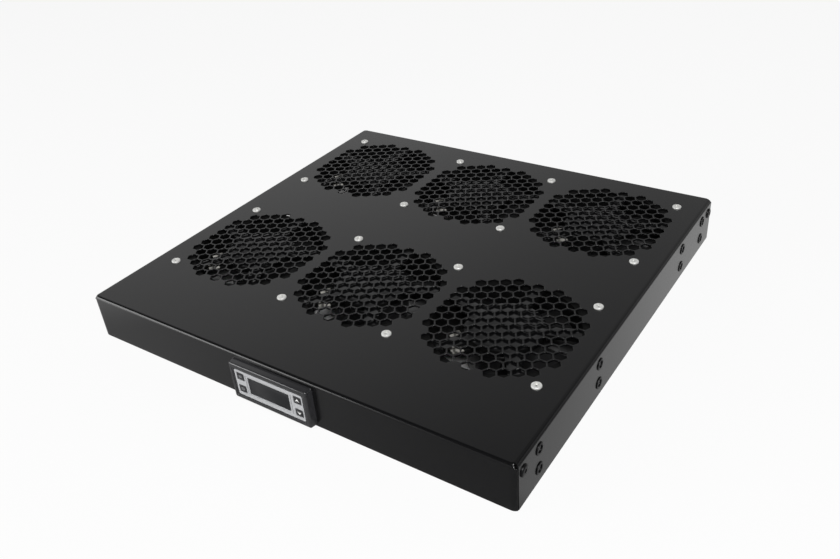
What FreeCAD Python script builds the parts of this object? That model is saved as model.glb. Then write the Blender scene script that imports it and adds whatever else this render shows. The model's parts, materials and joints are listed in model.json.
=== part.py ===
import FreeCAD, Part
import math
import os

# Rack fan tray: a folded steel tray, open underneath, that carries six axial fans
# under hexagonal perforations and a thermostat in its front wall.
# Millimetres, +Z up, +X to the right of the front, +Y to the back.
# Origin: centre of the whole footprint, in the plane of the tray's lower rim.

V = FreeCAD.Vector

# Folded sheet
TRAY_WIDTH = 402.0
TRAY_DEPTH = 386.0
TRAY_HEIGHT = 40.3
SHEET = 1.5
BEND_RADIUS = 2.6           # outside of every bend
CORNER_RELIEF = 1.0         # gap left at each corner between the bends
SIDE_SETBACK = 2.2          # side walls behind the front face, and before the back face
TAB_LENGTH = 20.0           # end of the front and rear walls, behind the side walls

# Perforation over each fan
HEX_PITCH = 10.15
HEX_OPENING = 8.8           # across the flats
HEX_COLUMNS = 6             # columns on each side of the middle one
PATCH_RADIUS = 60.5         # hexagons whose centre lies inside this are cut

# Fans
FAN_SIZE = 119.4
FAN_DEPTH = 38.0
FAN_CORNER_RADIUS = 6.0
FAN_HOLE_PITCH = 105.0
FAN_COLUMN_PITCH = 125.3
FRONT_ROW = 125.4           # front face of the tray to the front row of fans
ROW_PITCH = 177.9
FAN_FLANGE = 4.5
DUCT_RADIUS = 57.5
DUCT_WALL = 1.9
DUCT_CHAMFER = 1.6
STRUT_COUNT = 5
STRUT_ANGLE = 18.0
STRUT_WIDTH = 11.0
STRUT_THICKNESS = 3.6
BASE_RADIUS = 31.0
BASE_THICKNESS = 5.0
BASE_RECESS = 0.4           # motor base and struts below the fan's outlet face

# Fan rotor
HUB_RADIUS = 30.0
HUB_CHAMFER = 2.5
HUB_TO_BASE = 1.0
HUB_BOTTOM = 3.0            # hub above the fan's intake face
SHAFT_RADIUS = 4.0
SHAFT_CLEARANCE = 0.2
SHAFT_END_GAP = 0.3
SHAFT_COVER = 1.5           # motor base left above the shaft
BLADE_COUNT = 5
BLADE_THICKNESS = 2.0
BLADE_TIP_CLEARANCE = 1.3
BLADE_ROOT_CHORD = 22.0     # measured around the hub
BLADE_TIP_CHORD = 44.0
BLADE_ROOT_RISE = 23.0
BLADE_TIP_RISE = 19.0
BLADE_CAMBER = 3.5
BLADE_STEPS = 4             # flats along the chord
BLADE_BOTTOM = 5.0
ROTOR_PHASES = (8.0, 31.0, 52.0, 20.0, 64.0, 43.0)

# Fan supply lugs, on both sides of the strut that points to the left front
LUG_STRUT = 3
LUG_PLACES = ((32.5, -9.4), (38.9, 9.4))    # start of a lug along the strut, and beside it
LUG_WIDTH = 6.3
LUG_LENGTH = 9.0
LUG_THICKNESS = 0.8
LUG_BELOW_FACE = 2.2

# Screws through the tray and the upper flange of each fan. Hidden shanks and their holes
# have eight sides, which keeps what repeats light.
HOLE_SIDES = 8
SCREW_SHANK = 3.7           # across the flats
SCREW_HOLE = 4.5
SCREW_HEAD_RADIUS = 4.1
SCREW_HEAD_CROWN = 2.6
SCREW_HEAD_HEIGHT = 1.9
SCREW_HEAD_SIDE = 0.6       # straight part of the head's side
SCREW_LENGTH = 12.0
NUT_FLATS = 7.0
NUT_HEIGHT = 3.2
NUT_CLEARANCE = 0.15

# Threaded inserts in the side walls, measured from the front face and the lower rim
INSERT_PLACES = (31.0, 127.5, 305.3, 358.8)
INSERT_ROWS = (12.0, 29.5)
INSERT_BORE_RADIUS = 2.1
INSERT_SHANK = 7.0          # hexagonal, across the flats
INSERT_FLANGE_RADIUS = 4.8
INSERT_FLANGE = 1.0
INSERT_LENGTH = 10.5

# Screws that hold the side walls to the end tabs
CORNER_SCREW_INSET = 9.5
CORNER_SCREW_HEIGHT = 29.5
CORNER_HEAD_RADIUS = 4.6
CORNER_HEAD_CROWN = 3.6
CORNER_HEAD_HEIGHT = 1.3
CORNER_SCREW_LENGTH = 9.0
HEX_SOCKET_FLATS = 3.0
HEX_SOCKET_DEPTH = 1.0

# Thermostat in the front wall
PANEL_HEIGHT = 18.6         # middle of the thermostat above the lower rim
CUTOUT_WIDTH = 71.0
CUTOUT_HEIGHT = 29.0
CUTOUT_CLEARANCE = 0.3
BEZEL_WIDTH = 77.2
BEZEL_HEIGHT = 34.4
BEZEL_DEPTH = 6.2
BEZEL_TAPER_X = 1.9
BEZEL_TAPER_Z = 0.6
BEZEL_CORNER = 2.2
BEZEL_EDGE = 0.8
OVERLAY_WIDTH = 67.0
OVERLAY_HEIGHT = 25.0
OVERLAY_CORNER = 1.0
OVERLAY_RECESS = 0.7
OVERLAY_THICKNESS = 0.9
WINDOW_WIDTH = 39.4
WINDOW_HEIGHT = 15.0
WINDOW_RECESS = 0.3
KEY_WIDTH = 6.4
KEY_HEIGHT = 5.8
KEY_SPREAD = 27.9           # middle of a key from the middle of the panel
KEY_RISE = 5.95
KEY_GAP = 0.2
KEY_PROUD = 0.25
KEY_FLANGE = 0.9
KEY_FLANGE_THICKNESS = 0.8
KEY_TRAVEL = 0.5
KEY_FLOOR_GAP = 0.15
CASE_DEPTH = 50.0
CASE_WALL_STEP = 1.2
TERMINAL_DEPTH = 7.0
TERMINAL_HEIGHT = 17.0
TERMINAL_WIDTH = 60.0
TERMINAL_POLES = 10
ENTRY_WIDTH = 3.6
ENTRY_HEIGHT = 4.2
ENTRY_DROP = 4.2            # middle of the wire entries below the middle of the block
ENTRY_DEPTH = 3.5
CLIP_LENGTH = 20.0
CLIP_HEIGHT = 12.0
CLIP_THICKNESS = 3.4
CLIP_WALL = 1.2

# Mains inlet in the rear wall
INLET_OFFSET = -125.3       # from the middle of the tray
INLET_HEIGHT = 19.5         # middle of the inlet above the lower rim
INLET_FLANGE_WIDTH = 49.0
INLET_FLANGE_HEIGHT = 23.0
INLET_FLANGE = 3.0
INLET_BODY_WIDTH = 27.6
INLET_BODY_HEIGHT = 20.2
INLET_BODY_DEPTH = 16.5
INLET_CLEARANCE = 0.25
SOCKET_WIDTH = 24.0
SOCKET_HEIGHT = 16.6
SOCKET_BEVEL = 4.6
SOCKET_DEPTH = 17.0
PIN_WIDTH = 2.0
PIN_HEIGHT = 4.0
PIN_LENGTH = 15.0
PIN_SPREAD = 7.0
PIN_DROP = 1.0
EARTH_RISE = 3.0
TAB_THICKNESS = 0.8
TAB_WIDTH = 6.3
TAB_PROJECTION = 4.6
INLET_SCREW_PITCH = 40.0
INLET_SCREW_SHANK = 2.7     # across the flats
INLET_SCREW_HOLE = 3.4
INLET_SCREW_HEAD = 2.8      # radius at the rim of the countersink
INLET_SCREW_SINK = 1.1
INLET_SCREW_LENGTH = 9.0
INLET_NUT_FLATS = 5.5
INLET_NUT_HEIGHT = 2.4

# Places that follow from the sizes
FRONT = -(TRAY_DEPTH + INLET_FLANGE - BEZEL_DEPTH) / 2
BACK = FRONT + TRAY_DEPTH
HALF_WIDTH = TRAY_WIDTH / 2
UNDERSIDE = TRAY_HEIGHT - SHEET
FAN_BASE = UNDERSIDE - FAN_DEPTH
FAN_COLUMNS = (-FAN_COLUMN_PITCH, 0.0, FAN_COLUMN_PITCH)
FAN_ROWS = (FRONT + FRONT_ROW, FRONT + FRONT_ROW + ROW_PITCH)
FAN_CENTRES = [(x, y) for y in FAN_ROWS for x in FAN_COLUMNS]
WRAP_TOP = TRAY_HEIGHT - BEND_RADIUS - CORNER_RELIEF
BEND_END = HALF_WIDTH - BEND_RADIUS - CORNER_RELIEF
SIDE_START = FRONT + SIDE_SETBACK
SIDE_END = BACK - SIDE_SETBACK
MOTOR_TOP = FAN_DEPTH - BASE_RECESS
HUB_TOP = MOTOR_TOP - BASE_THICKNESS - HUB_TO_BASE
PANEL_FRONT = FRONT - BEZEL_DEPTH
OVERLAY_FRONT = PANEL_FRONT + OVERLAY_RECESS
OVERLAY_BACK = OVERLAY_FRONT + OVERLAY_THICKNESS
HALF = math.sqrt(0.5)       # sine and cosine of 45 degrees
NEAR = 0.05                 # an edge this close to a plane lies in it


def block(low, high):
    """Box between two opposite corners."""
    return Part.makeBox(high[0] - low[0], high[1] - low[1], high[2] - low[2], V(*low))


def cylinder(radius, start, end):
    """Round bar from one point to another."""
    run = V(*end) - V(*start)
    return Part.makeCylinder(radius, run.Length, V(*start), run)


def outline(points):
    """Closed wire through the points."""
    return Part.makePolygon(list(points) + [points[0]])


def ring_points(centre, flats, sides, turn=0.0):
    """Corners of a level regular polygon of a given width across its flats."""
    radius = flats / 2 / math.cos(math.pi / sides)
    angles = [math.radians(turn) + 2 * math.pi * k / sides for k in range(sides)]
    return [V(centre[0] + radius * math.cos(a), centre[1] + radius * math.sin(a), centre[2])
            for a in angles]


def bar(flats, sides, start, end):
    """Regular bar from one point to another, given by its width across the flats."""
    run = V(*end) - V(*start)
    face = Part.Face(outline(ring_points((0, 0, 0), flats, sides)))
    face.Placement = FreeCAD.Placement(V(*start), FreeCAD.Rotation(V(0, 0, 1), run))
    return face.extrude(run)


def rounded_panel(width, height, corner, y, middle=PANEL_HEIGHT):
    """Upright wire with round corners, in the plane at y, centred on the tray's width."""
    half, rise, k = width / 2, height / 2, corner * (1 - HALF)
    edges = []
    corners = ((1, 1), (-1, 1), (-1, -1), (1, -1))
    for index, (sx, sz) in enumerate(corners):
        along_x = V(sx * (half - corner), y, middle + sz * rise)
        along_z = V(sx * half, y, middle + sz * (rise - corner))
        between = V(sx * (half - k), y, middle + sz * (rise - k))
        first, last = (along_z, along_x) if sx * sz > 0 else (along_x, along_z)
        edges.append(Part.Arc(first, between, last).toShape())
        nx, nz = corners[(index + 1) % 4]
        if sx == nx:
            onward = V(nx * half, y, middle + nz * (rise - corner))
        else:
            onward = V(nx * (half - corner), y, middle + nz * rise)
        edges.append(Part.LineSegment(last, onward).toShape())
    return Part.Wire(edges)


def panel_plate(width, height, corner, front, back):
    """Upright plate with round corners between two planes."""
    face = Part.Face(rounded_panel(width, height, corner, front))
    return face.extrude(V(0, back - front, 0))


def upright(x0, x1, z0, z1, front, back):
    """Upright block given by its width, height and depth limits."""
    return block((x0, front, z0), (x1, back, z1))


def group(shapes):
    """Several separate solids kept as one sub-part."""
    return Part.makeCompound(shapes)


# Folded tray

def patch_hexagons(centre):
    """Centres of the hexagons over one fan: columns one hexagon height apart by half steps."""
    step = HEX_PITCH * math.sqrt(3) / 2
    found = []
    for column in range(-HEX_COLUMNS, HEX_COLUMNS + 1):
        shift = 0.5 if column % 2 == 0 else 0.0
        for row in range(-HEX_COLUMNS - 1, HEX_COLUMNS + 1):
            x, y = column * step, (row + shift) * HEX_PITCH
            if math.hypot(x, y) < PATCH_RADIUS:
                found.append((centre[0] + x, centre[1] + y))
    return found


def fan_screw_places():
    """Screws of the middle fans at all corners, of the outer fans at their outer corners."""
    reach = FAN_HOLE_PITCH / 2
    columns = (FAN_COLUMNS[0] - reach, -reach, reach, FAN_COLUMNS[2] + reach)
    return [(x, y + side) for y in FAN_ROWS for side in (-reach, reach) for x in columns]


def plate_outline():
    """Outline of the flat top, with a round relief in each corner between the bends."""
    half, c = HALF_WIDTH - BEND_RADIUS, CORNER_RELIEF
    middle, reach = (FRONT + BACK) / 2, TRAY_DEPTH / 2 - BEND_RADIUS

    def at(x, y):
        return V(x, middle + y, UNDERSIDE)

    edges = []
    corners = ((1, 1), (-1, 1), (-1, -1), (1, -1))
    for index, (sx, sy) in enumerate(corners):
        x, y = sx * half, sy * reach
        beside = [at(x, y - sy * c), at(x - sx * c, y)]
        first, last = beside if sx * sy > 0 else beside[::-1]
        edges.append(Part.Arc(first, at(x - sx * c * HALF, y - sy * c * HALF), last))
        nx, ny = corners[(index + 1) % 4]
        if sx == nx:
            onward = at(nx * half, ny * (reach - c))
        else:
            onward = at(nx * (half - c), ny * reach)
        edges.append(Part.LineSegment(last, onward))
    return Part.Wire([edge.toShape() for edge in edges])


def make_top_plate():
    """Flat top between the bends, with its perforations and screw holes."""
    holes = [outline(ring_points((x, y, UNDERSIDE), HEX_OPENING, 6))
             for centre in FAN_CENTRES for x, y in patch_hexagons(centre)]
    holes += [outline(ring_points((x, y, UNDERSIDE), SCREW_HOLE, HOLE_SIDES))
              for x, y in fan_screw_places()]
    for hole in holes:
        hole.reverse()
    return Part.Face([plate_outline()] + holes).extrude(V(0, 0, SHEET))


def bent_wall(place, run):
    """Wall with its bend to the top: a profile of inset and height, drawn out along a run."""
    r, inner, h = BEND_RADIUS, BEND_RADIUS - SHEET, TRAY_HEIGHT
    centre = h - r
    edges = [
        Part.LineSegment(place(0, 0), place(0, centre)),
        Part.Arc(place(0, centre), place(r - r * HALF, centre + r * HALF), place(r, h)),
        Part.LineSegment(place(r, h), place(r, h - SHEET)),
        Part.Arc(place(r, h - SHEET), place(r - inner * HALF, centre + inner * HALF),
                 place(SHEET, centre)),
        Part.LineSegment(place(SHEET, centre), place(SHEET, 0)),
        Part.LineSegment(place(SHEET, 0), place(0, 0)),
    ]
    wire = Part.Wire([edge.toShape() for edge in edges])
    return Part.Face(wire).extrude(run)


def wall_wrap(side, face_y, inward):
    """End of the front or rear wall, bent back into a tab behind a side wall."""
    r, inner = BEND_RADIUS, BEND_RADIUS - SHEET
    outer = HALF_WIDTH - SHEET
    start = BEND_END - CORNER_RELIEF

    def at(x, depth):
        return V(side * x, face_y + inward * depth, 0)

    cx = outer - r
    edges = [
        Part.LineSegment(at(start, 0), at(cx, 0)),
        Part.Arc(at(cx, 0), at(cx + r * HALF, r - r * HALF), at(outer, r)),
        Part.LineSegment(at(outer, r), at(outer, TAB_LENGTH)),
        Part.LineSegment(at(outer, TAB_LENGTH), at(outer - SHEET, TAB_LENGTH)),
        Part.LineSegment(at(outer - SHEET, TAB_LENGTH), at(outer - SHEET, r)),
        Part.Arc(at(outer - SHEET, r), at(cx + inner * HALF, r - inner * HALF), at(cx, SHEET)),
        Part.LineSegment(at(cx, SHEET), at(start, SHEET)),
        Part.LineSegment(at(start, SHEET), at(start, 0)),
    ]
    wire = Part.Wire([edge.toShape() for edge in edges])
    return Part.Face(wire).extrude(V(0, 0, WRAP_TOP))


def end_wall(face_y, inward):
    """Front or rear wall with its bend and both end tabs."""
    wall = bent_wall(lambda inset, z: V(-BEND_END, face_y + inward * inset, z),
                     V(2 * BEND_END, 0, 0))
    for side in (-1, 1):
        wall = wall.fuse(wall_wrap(side, face_y, inward))
        y = face_y + inward * CORNER_SCREW_INSET
        wall = wall.cut(bar(SCREW_HOLE, HOLE_SIDES, (0, y, CORNER_SCREW_HEIGHT),
                            (side * HALF_WIDTH, y, CORNER_SCREW_HEIGHT)))
    return wall.removeSplitter()


def make_front_wall():
    """Front wall with the thermostat's cut-out."""
    wall = end_wall(FRONT, 1)
    half, rise = CUTOUT_WIDTH / 2, CUTOUT_HEIGHT / 2
    hole = upright(-half, half, PANEL_HEIGHT - rise, PANEL_HEIGHT + rise,
                   FRONT - SHEET, FRONT + 2 * SHEET)
    return wall.cut(hole)


def make_rear_wall():
    """Rear wall with the inlet's cut-out and screw holes."""
    wall = end_wall(BACK, -1)
    half = INLET_BODY_WIDTH / 2 + INLET_CLEARANCE
    rise = INLET_BODY_HEIGHT / 2 + INLET_CLEARANCE
    wall = wall.cut(upright(INLET_OFFSET - half, INLET_OFFSET + half, INLET_HEIGHT - rise,
                            INLET_HEIGHT + rise, BACK - 2 * SHEET, BACK + SHEET))
    for x in inlet_screw_columns():
        wall = wall.cut(bar(INLET_SCREW_HOLE, HOLE_SIDES, (x, BACK - 2 * SHEET, INLET_HEIGHT),
                            (x, BACK + SHEET, INLET_HEIGHT)))
    return wall


def make_side_wall(side):
    """Side wall with its bend, insert holes and corner screw holes."""
    wall = bent_wall(lambda inset, z: V(side * (HALF_WIDTH - inset), SIDE_START, z),
                     V(0, SIDE_END - SIDE_START, 0))
    holes = [(y, z, INSERT_SHANK + 2 * NUT_CLEARANCE, 6) for y, z in insert_places()]
    holes += [(y, CORNER_SCREW_HEIGHT, SCREW_HOLE, HOLE_SIDES) for y in corner_screw_rows()]
    for y, z, flats, sides in holes:
        wall = wall.cut(bar(flats, sides, (side * (HALF_WIDTH - 2 * SHEET), y, z),
                            (side * (HALF_WIDTH + SHEET), y, z)))
    return wall


# Fasteners

def insert_places():
    """Inserts of one side wall, as distance along the tray and height."""
    return [(FRONT + y, z) for y in INSERT_PLACES for z in INSERT_ROWS]


def corner_screw_rows():
    """Corner screws of one side wall, front and back."""
    return (FRONT + CORNER_SCREW_INSET, BACK - CORNER_SCREW_INSET)


def turned(profile, origin, axis):
    """Solid turned from a profile of radius and distance along an axis."""
    wire = outline([V(radius, 0, along) for radius, along in profile])
    solid = Part.Face(wire).revolve(V(0, 0, 0), V(0, 0, 1), 360)
    solid.Placement = FreeCAD.Placement(V(*origin), FreeCAD.Rotation(V(0, 0, 1), axis))
    return solid


def make_inserts():
    """Flanged threaded inserts with a hexagonal shank, in both side walls."""
    inserts = []
    for side in (-1, 1):
        for y, z in insert_places():
            wall, face = side * HALF_WIDTH, side * (HALF_WIDTH + INSERT_FLANGE)
            end = (side * (HALF_WIDTH - INSERT_LENGTH), y, z)
            insert = cylinder(INSERT_FLANGE_RADIUS, (wall, y, z), (face, y, z))
            insert = insert.fuse(bar(INSERT_SHANK, 6, (wall, y, z), end))
            inserts.append(insert.cut(cylinder(INSERT_BORE_RADIUS, (face, y, z), end)))
    return group(inserts)


def along(place, axis, distance):
    """Point at a distance from a place, along an axis."""
    return tuple(V(*place) + axis * distance)


def screw(place, axis, profile, shank, length):
    """Screw whose head is turned from a profile and stands on a face, with its shank."""
    head = turned([(0, profile[0][1])] + profile + [(0, 0)], place, axis)
    return head.fuse(bar(shank, HOLE_SIDES, place, along(place, axis, -length)))


def make_corner_screws():
    """Low round-headed socket screws through each side wall and end tab."""
    profile = [(CORNER_HEAD_CROWN, CORNER_HEAD_HEIGHT), (CORNER_HEAD_RADIUS, 0)]
    screws = []
    for side in (-1, 1):
        for y in corner_screw_rows():
            place, axis = (side * HALF_WIDTH, y, CORNER_SCREW_HEIGHT), V(side, 0, 0)
            top = along(place, axis, CORNER_HEAD_HEIGHT)
            floor = along(top, axis, -HEX_SOCKET_DEPTH)
            piece = screw(place, axis, profile, SCREW_SHANK, CORNER_SCREW_LENGTH)
            screws.append(piece.cut(bar(HEX_SOCKET_FLATS, 6, top, floor)))
    return group(screws)


def nut(place, away, flats, height, shank):
    """Hexagonal nut that bears on a face and stands away from it, around a shank."""
    top = along(place, away, height)
    bore = shank + 2 * NUT_CLEARANCE
    return bar(flats, 6, place, top).cut(bar(bore, HOLE_SIDES, place, top))


def make_corner_nuts():
    """Nuts of the corner screws, on the inside of the end tabs."""
    nuts = []
    for side in (-1, 1):
        for y in corner_screw_rows():
            face = (side * (HALF_WIDTH - 2 * SHEET), y, CORNER_SCREW_HEIGHT)
            nuts.append(nut(face, V(-side, 0, 0), NUT_FLATS, NUT_HEIGHT, SCREW_SHANK))
    return group(nuts)


def make_fan_screws():
    """Pan-headed screws on top of the tray."""
    profile = [(SCREW_HEAD_CROWN, SCREW_HEAD_HEIGHT), (SCREW_HEAD_RADIUS, SCREW_HEAD_SIDE),
               (SCREW_HEAD_RADIUS, 0)]
    return group([screw((x, y, TRAY_HEIGHT), V(0, 0, 1), profile, SCREW_SHANK, SCREW_LENGTH)
                  for x, y in fan_screw_places()])


def make_fan_nuts():
    """Nuts under the upper flanges of the fans."""
    face = UNDERSIDE - FAN_FLANGE
    return group([nut((x, y, face), V(0, 0, -1), NUT_FLATS, NUT_HEIGHT, SCREW_SHANK)
                  for x, y in fan_screw_places()])


# Fans, built about their own axis with the intake face at zero

def fan_flange(bottom):
    """Square flange with round corners and its four screw holes."""
    half = FAN_SIZE / 2
    plate = block((-half, -half, bottom), (half, half, bottom + FAN_FLANGE))
    upright_edges = [edge for edge in plate.Edges if abs(edge.tangentAt(0).z) > HALF]
    plate = plate.makeFillet(FAN_CORNER_RADIUS, upright_edges)
    reach = FAN_HOLE_PITCH / 2
    for x in (-reach, reach):
        for y in (-reach, reach):
            plate = plate.cut(bar(SCREW_HOLE, HOLE_SIDES, (x, y, bottom),
                                  (x, y, bottom + FAN_FLANGE)))
    return plate


def lug_carriers():
    """Insulating blocks beside the motor that carry the supply lugs."""
    top = MOTOR_TOP - LUG_BELOW_FACE + LUG_THICKNESS
    return [block((0, min(0, beside + side * LUG_WIDTH / 2), MOTOR_TOP - BASE_THICKNESS),
                  (start, max(0, beside + side * LUG_WIDTH / 2), top))
            for side, (start, beside) in zip((-1, 1), LUG_PLACES)]


def fan_frame():
    """Duct between two square flanges, with motor base and struts at the outlet."""
    frame = cylinder(DUCT_RADIUS + DUCT_WALL, (0, 0, 0), (0, 0, FAN_DEPTH))
    for bottom in (0, FAN_DEPTH - FAN_FLANGE):
        frame = frame.fuse(fan_flange(bottom))
    frame = frame.cut(cylinder(DUCT_RADIUS, (0, 0, 0), (0, 0, FAN_DEPTH)))
    flare = Part.makeCone(DUCT_RADIUS + DUCT_CHAMFER, DUCT_RADIUS, DUCT_CHAMFER)
    frame = frame.cut(flare)
    motor = cylinder(BASE_RADIUS, (0, 0, MOTOR_TOP - BASE_THICKNESS), (0, 0, MOTOR_TOP))
    reach = DUCT_RADIUS + DUCT_WALL / 2
    for k in range(STRUT_COUNT):
        strut = block((0, -STRUT_WIDTH / 2, MOTOR_TOP - STRUT_THICKNESS),
                      (reach, STRUT_WIDTH / 2, MOTOR_TOP))
        strut.rotate(V(0, 0, 0), V(0, 0, 1), strut_angle(k))
        motor = motor.fuse(strut)
    for carrier in lug_carriers():
        carrier.rotate(V(0, 0, 0), V(0, 0, 1), strut_angle(LUG_STRUT))
        motor = motor.fuse(carrier)
    shaft_room = SHAFT_RADIUS + SHAFT_CLEARANCE
    motor = motor.cut(cylinder(shaft_room, (0, 0, 0), (0, 0, MOTOR_TOP - SHAFT_COVER)))
    return frame.fuse(motor).removeSplitter()


def strut_angle(k):
    """Direction of a strut about the fan's axis, in degrees."""
    return STRUT_ANGLE + 360.0 * k / STRUT_COUNT


def fan_lugs():
    """The two flat supply lugs of one fan."""
    z = MOTOR_TOP - LUG_BELOW_FACE
    lugs = []
    for start, beside in LUG_PLACES:
        lug = block((start, beside - LUG_WIDTH / 2, z),
                    (start + LUG_LENGTH, beside + LUG_WIDTH / 2, z + LUG_THICKNESS))
        lug.rotate(V(0, 0, 0), V(0, 0, 1), strut_angle(LUG_STRUT))
        lugs.append(lug)
    return lugs


def blade_section(radius, chord, rise):
    """Arched section of a blade, in the plane at a radius from the axis."""
    lower = []
    for k in range(BLADE_STEPS + 1):
        share = k / BLADE_STEPS
        arch = 4 * BLADE_CAMBER * share * (1 - share)
        lower.append(V(radius, (share - 0.5) * chord, BLADE_BOTTOM + share * rise + arch))
    upper = [point + V(0, 0, BLADE_THICKNESS) for point in reversed(lower)]
    return outline(lower + upper)


def fan_rotor():
    """Hub, shaft and blades, carried by the shaft in the motor base."""
    hub = cylinder(HUB_RADIUS, (0, 0, HUB_BOTTOM), (0, 0, HUB_TOP))
    rim = [edge for edge in hub.Edges if edge.BoundBox.ZMax < HUB_BOTTOM + NEAR]
    hub = hub.makeChamfer(HUB_CHAMFER, rim)
    tip = DUCT_RADIUS - BLADE_TIP_CLEARANCE
    blade = Part.makeLoft([blade_section(HUB_RADIUS * HALF, BLADE_ROOT_CHORD, BLADE_ROOT_RISE),
                           blade_section(tip, BLADE_TIP_CHORD, BLADE_TIP_RISE)], True, True)
    blade = blade.common(cylinder(tip, (0, 0, 0), (0, 0, FAN_DEPTH)))
    rotor = hub
    for k in range(BLADE_COUNT):
        copy = blade.copy()
        copy.rotate(V(0, 0, 0), V(0, 0, 1), 360.0 * k / BLADE_COUNT)
        rotor = rotor.fuse(copy)
    shaft_top = MOTOR_TOP - SHAFT_COVER - SHAFT_END_GAP
    return rotor.fuse(cylinder(SHAFT_RADIUS, (0, 0, HUB_BOTTOM + HUB_CHAMFER),
                               (0, 0, shaft_top))).removeSplitter()


def placed(shape, centre, phase=0.0):
    """Copy of a fan piece at one fan's place."""
    copy = shape.copy()
    copy.rotate(V(0, 0, 0), V(0, 0, 1), phase)
    copy.translate(V(centre[0], centre[1], FAN_BASE))
    return copy


# Thermostat

def key_places():
    """Keys by name, with the middle of each on the panel."""
    upper, lower = PANEL_HEIGHT + KEY_RISE, PANEL_HEIGHT - KEY_RISE
    return {"key_set": (-KEY_SPREAD, upper), "key_menu": (-KEY_SPREAD, lower),
            "key_up": (KEY_SPREAD, upper), "key_down": (KEY_SPREAD, lower)}


def around_key(centre, margin, front, back):
    """Block around a key's place, wider than the key by a margin on each side."""
    x, z = centre
    half, rise = KEY_WIDTH / 2 + margin, KEY_HEIGHT / 2 + margin
    return upright(x - half, x + half, z - rise, z + rise, front, back)


def make_key(centre):
    """Key cap with the flange that keeps it behind the overlay."""
    cap = around_key(centre, 0, OVERLAY_FRONT - KEY_PROUD, OVERLAY_BACK)
    flange = around_key(centre, KEY_FLANGE, OVERLAY_BACK, OVERLAY_BACK + KEY_FLANGE_THICKNESS)
    return cap.fuse(flange).removeSplitter()


def make_bezel():
    """Tapered frame that stands in front of the wall, recessed for the overlay."""
    wide = rounded_panel(BEZEL_WIDTH, BEZEL_HEIGHT, BEZEL_CORNER, FRONT)
    narrow = rounded_panel(BEZEL_WIDTH - 2 * BEZEL_TAPER_X, BEZEL_HEIGHT - 2 * BEZEL_TAPER_Z,
                           BEZEL_CORNER, PANEL_FRONT)
    bezel = Part.makeLoft([wide, narrow], True, True)
    front_edges = [edge for edge in bezel.Edges if edge.BoundBox.YMax < PANEL_FRONT + NEAR]
    bezel = bezel.makeChamfer(BEZEL_EDGE, front_edges)
    bezel = bezel.cut(panel_plate(OVERLAY_WIDTH, OVERLAY_HEIGHT, OVERLAY_CORNER,
                                  PANEL_FRONT, OVERLAY_BACK))
    floor = OVERLAY_BACK + KEY_FLANGE_THICKNESS + KEY_TRAVEL + KEY_FLOOR_GAP
    for centre in key_places().values():
        bezel = bezel.cut(around_key(centre, KEY_FLANGE + KEY_GAP, OVERLAY_BACK, floor))
    return bezel


def make_overlay():
    """Face of the panel, open for the window and the keys."""
    overlay = panel_plate(OVERLAY_WIDTH, OVERLAY_HEIGHT, OVERLAY_CORNER,
                          OVERLAY_FRONT, OVERLAY_BACK)
    overlay = overlay.cut(window_block(OVERLAY_FRONT))
    for centre in key_places().values():
        overlay = overlay.cut(around_key(centre, KEY_GAP, OVERLAY_FRONT, OVERLAY_BACK))
    return overlay


def window_block(front):
    """Space of the display window, from a given front plane to the overlay's back."""
    half, rise = WINDOW_WIDTH / 2, WINDOW_HEIGHT / 2
    return upright(-half, half, PANEL_HEIGHT - rise, PANEL_HEIGHT + rise, front, OVERLAY_BACK)


def make_case():
    """Case behind the wall, with a step along each side for its clip."""
    half = CUTOUT_WIDTH / 2 - CUTOUT_CLEARANCE
    rise = CUTOUT_HEIGHT / 2 - CUTOUT_CLEARANCE
    case = upright(-half, half, PANEL_HEIGHT - rise, PANEL_HEIGHT + rise,
                   FRONT, FRONT + CASE_DEPTH)
    for side in (-1, 1):
        inner, outer = sorted((side * (half - CASE_WALL_STEP), side * half))
        case = case.cut(upright(inner, outer, PANEL_HEIGHT - CLIP_HEIGHT / 2,
                                PANEL_HEIGHT + CLIP_HEIGHT / 2, FRONT + SHEET,
                                FRONT + CASE_DEPTH))
    return case


def make_clips():
    """Clips that slide along the case and press on the inside of the wall."""
    half = CUTOUT_WIDTH / 2 - CUTOUT_CLEARANCE - CASE_WALL_STEP
    rise = CLIP_HEIGHT / 2 - CUTOUT_CLEARANCE
    start = FRONT + SHEET
    clips = []
    for side in (-1, 1):
        inner, outer = sorted((side * half, side * (half + CLIP_THICKNESS)))
        clip = upright(inner, outer, PANEL_HEIGHT - rise, PANEL_HEIGHT + rise,
                       start, start + CLIP_LENGTH)
        middle = side * (half + CLIP_THICKNESS / 2)
        room = CLIP_THICKNESS / 2 - CLIP_WALL
        clip = clip.cut(upright(middle - room, middle + room, PANEL_HEIGHT - rise,
                                PANEL_HEIGHT + rise, start + 2 * CLIP_WALL,
                                start + CLIP_LENGTH - 2 * CLIP_WALL))
        clips.append(clip)
    return group(clips)


def make_terminal_block():
    """Row of wire entries at the back of the case."""
    half, rise = TERMINAL_WIDTH / 2, TERMINAL_HEIGHT / 2
    start = FRONT + CASE_DEPTH
    body = upright(-half, half, PANEL_HEIGHT - rise, PANEL_HEIGHT + rise,
                   start, start + TERMINAL_DEPTH)
    pitch = TERMINAL_WIDTH / TERMINAL_POLES
    middle = PANEL_HEIGHT - ENTRY_DROP
    end = start + TERMINAL_DEPTH
    for pole in range(TERMINAL_POLES):
        x = -half + (pole + 0.5) * pitch
        body = body.cut(upright(x - ENTRY_WIDTH / 2, x + ENTRY_WIDTH / 2,
                                middle - ENTRY_HEIGHT / 2, middle + ENTRY_HEIGHT / 2,
                                end - ENTRY_DEPTH, end))
    return body


# Mains inlet

def inlet_screw_columns():
    """Screws on both sides of the inlet."""
    return (INLET_OFFSET - INLET_SCREW_PITCH / 2, INLET_OFFSET + INLET_SCREW_PITCH / 2)


def socket_floor():
    """Depth at which the inlet's socket ends."""
    return BACK + INLET_FLANGE - SOCKET_DEPTH


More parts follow.
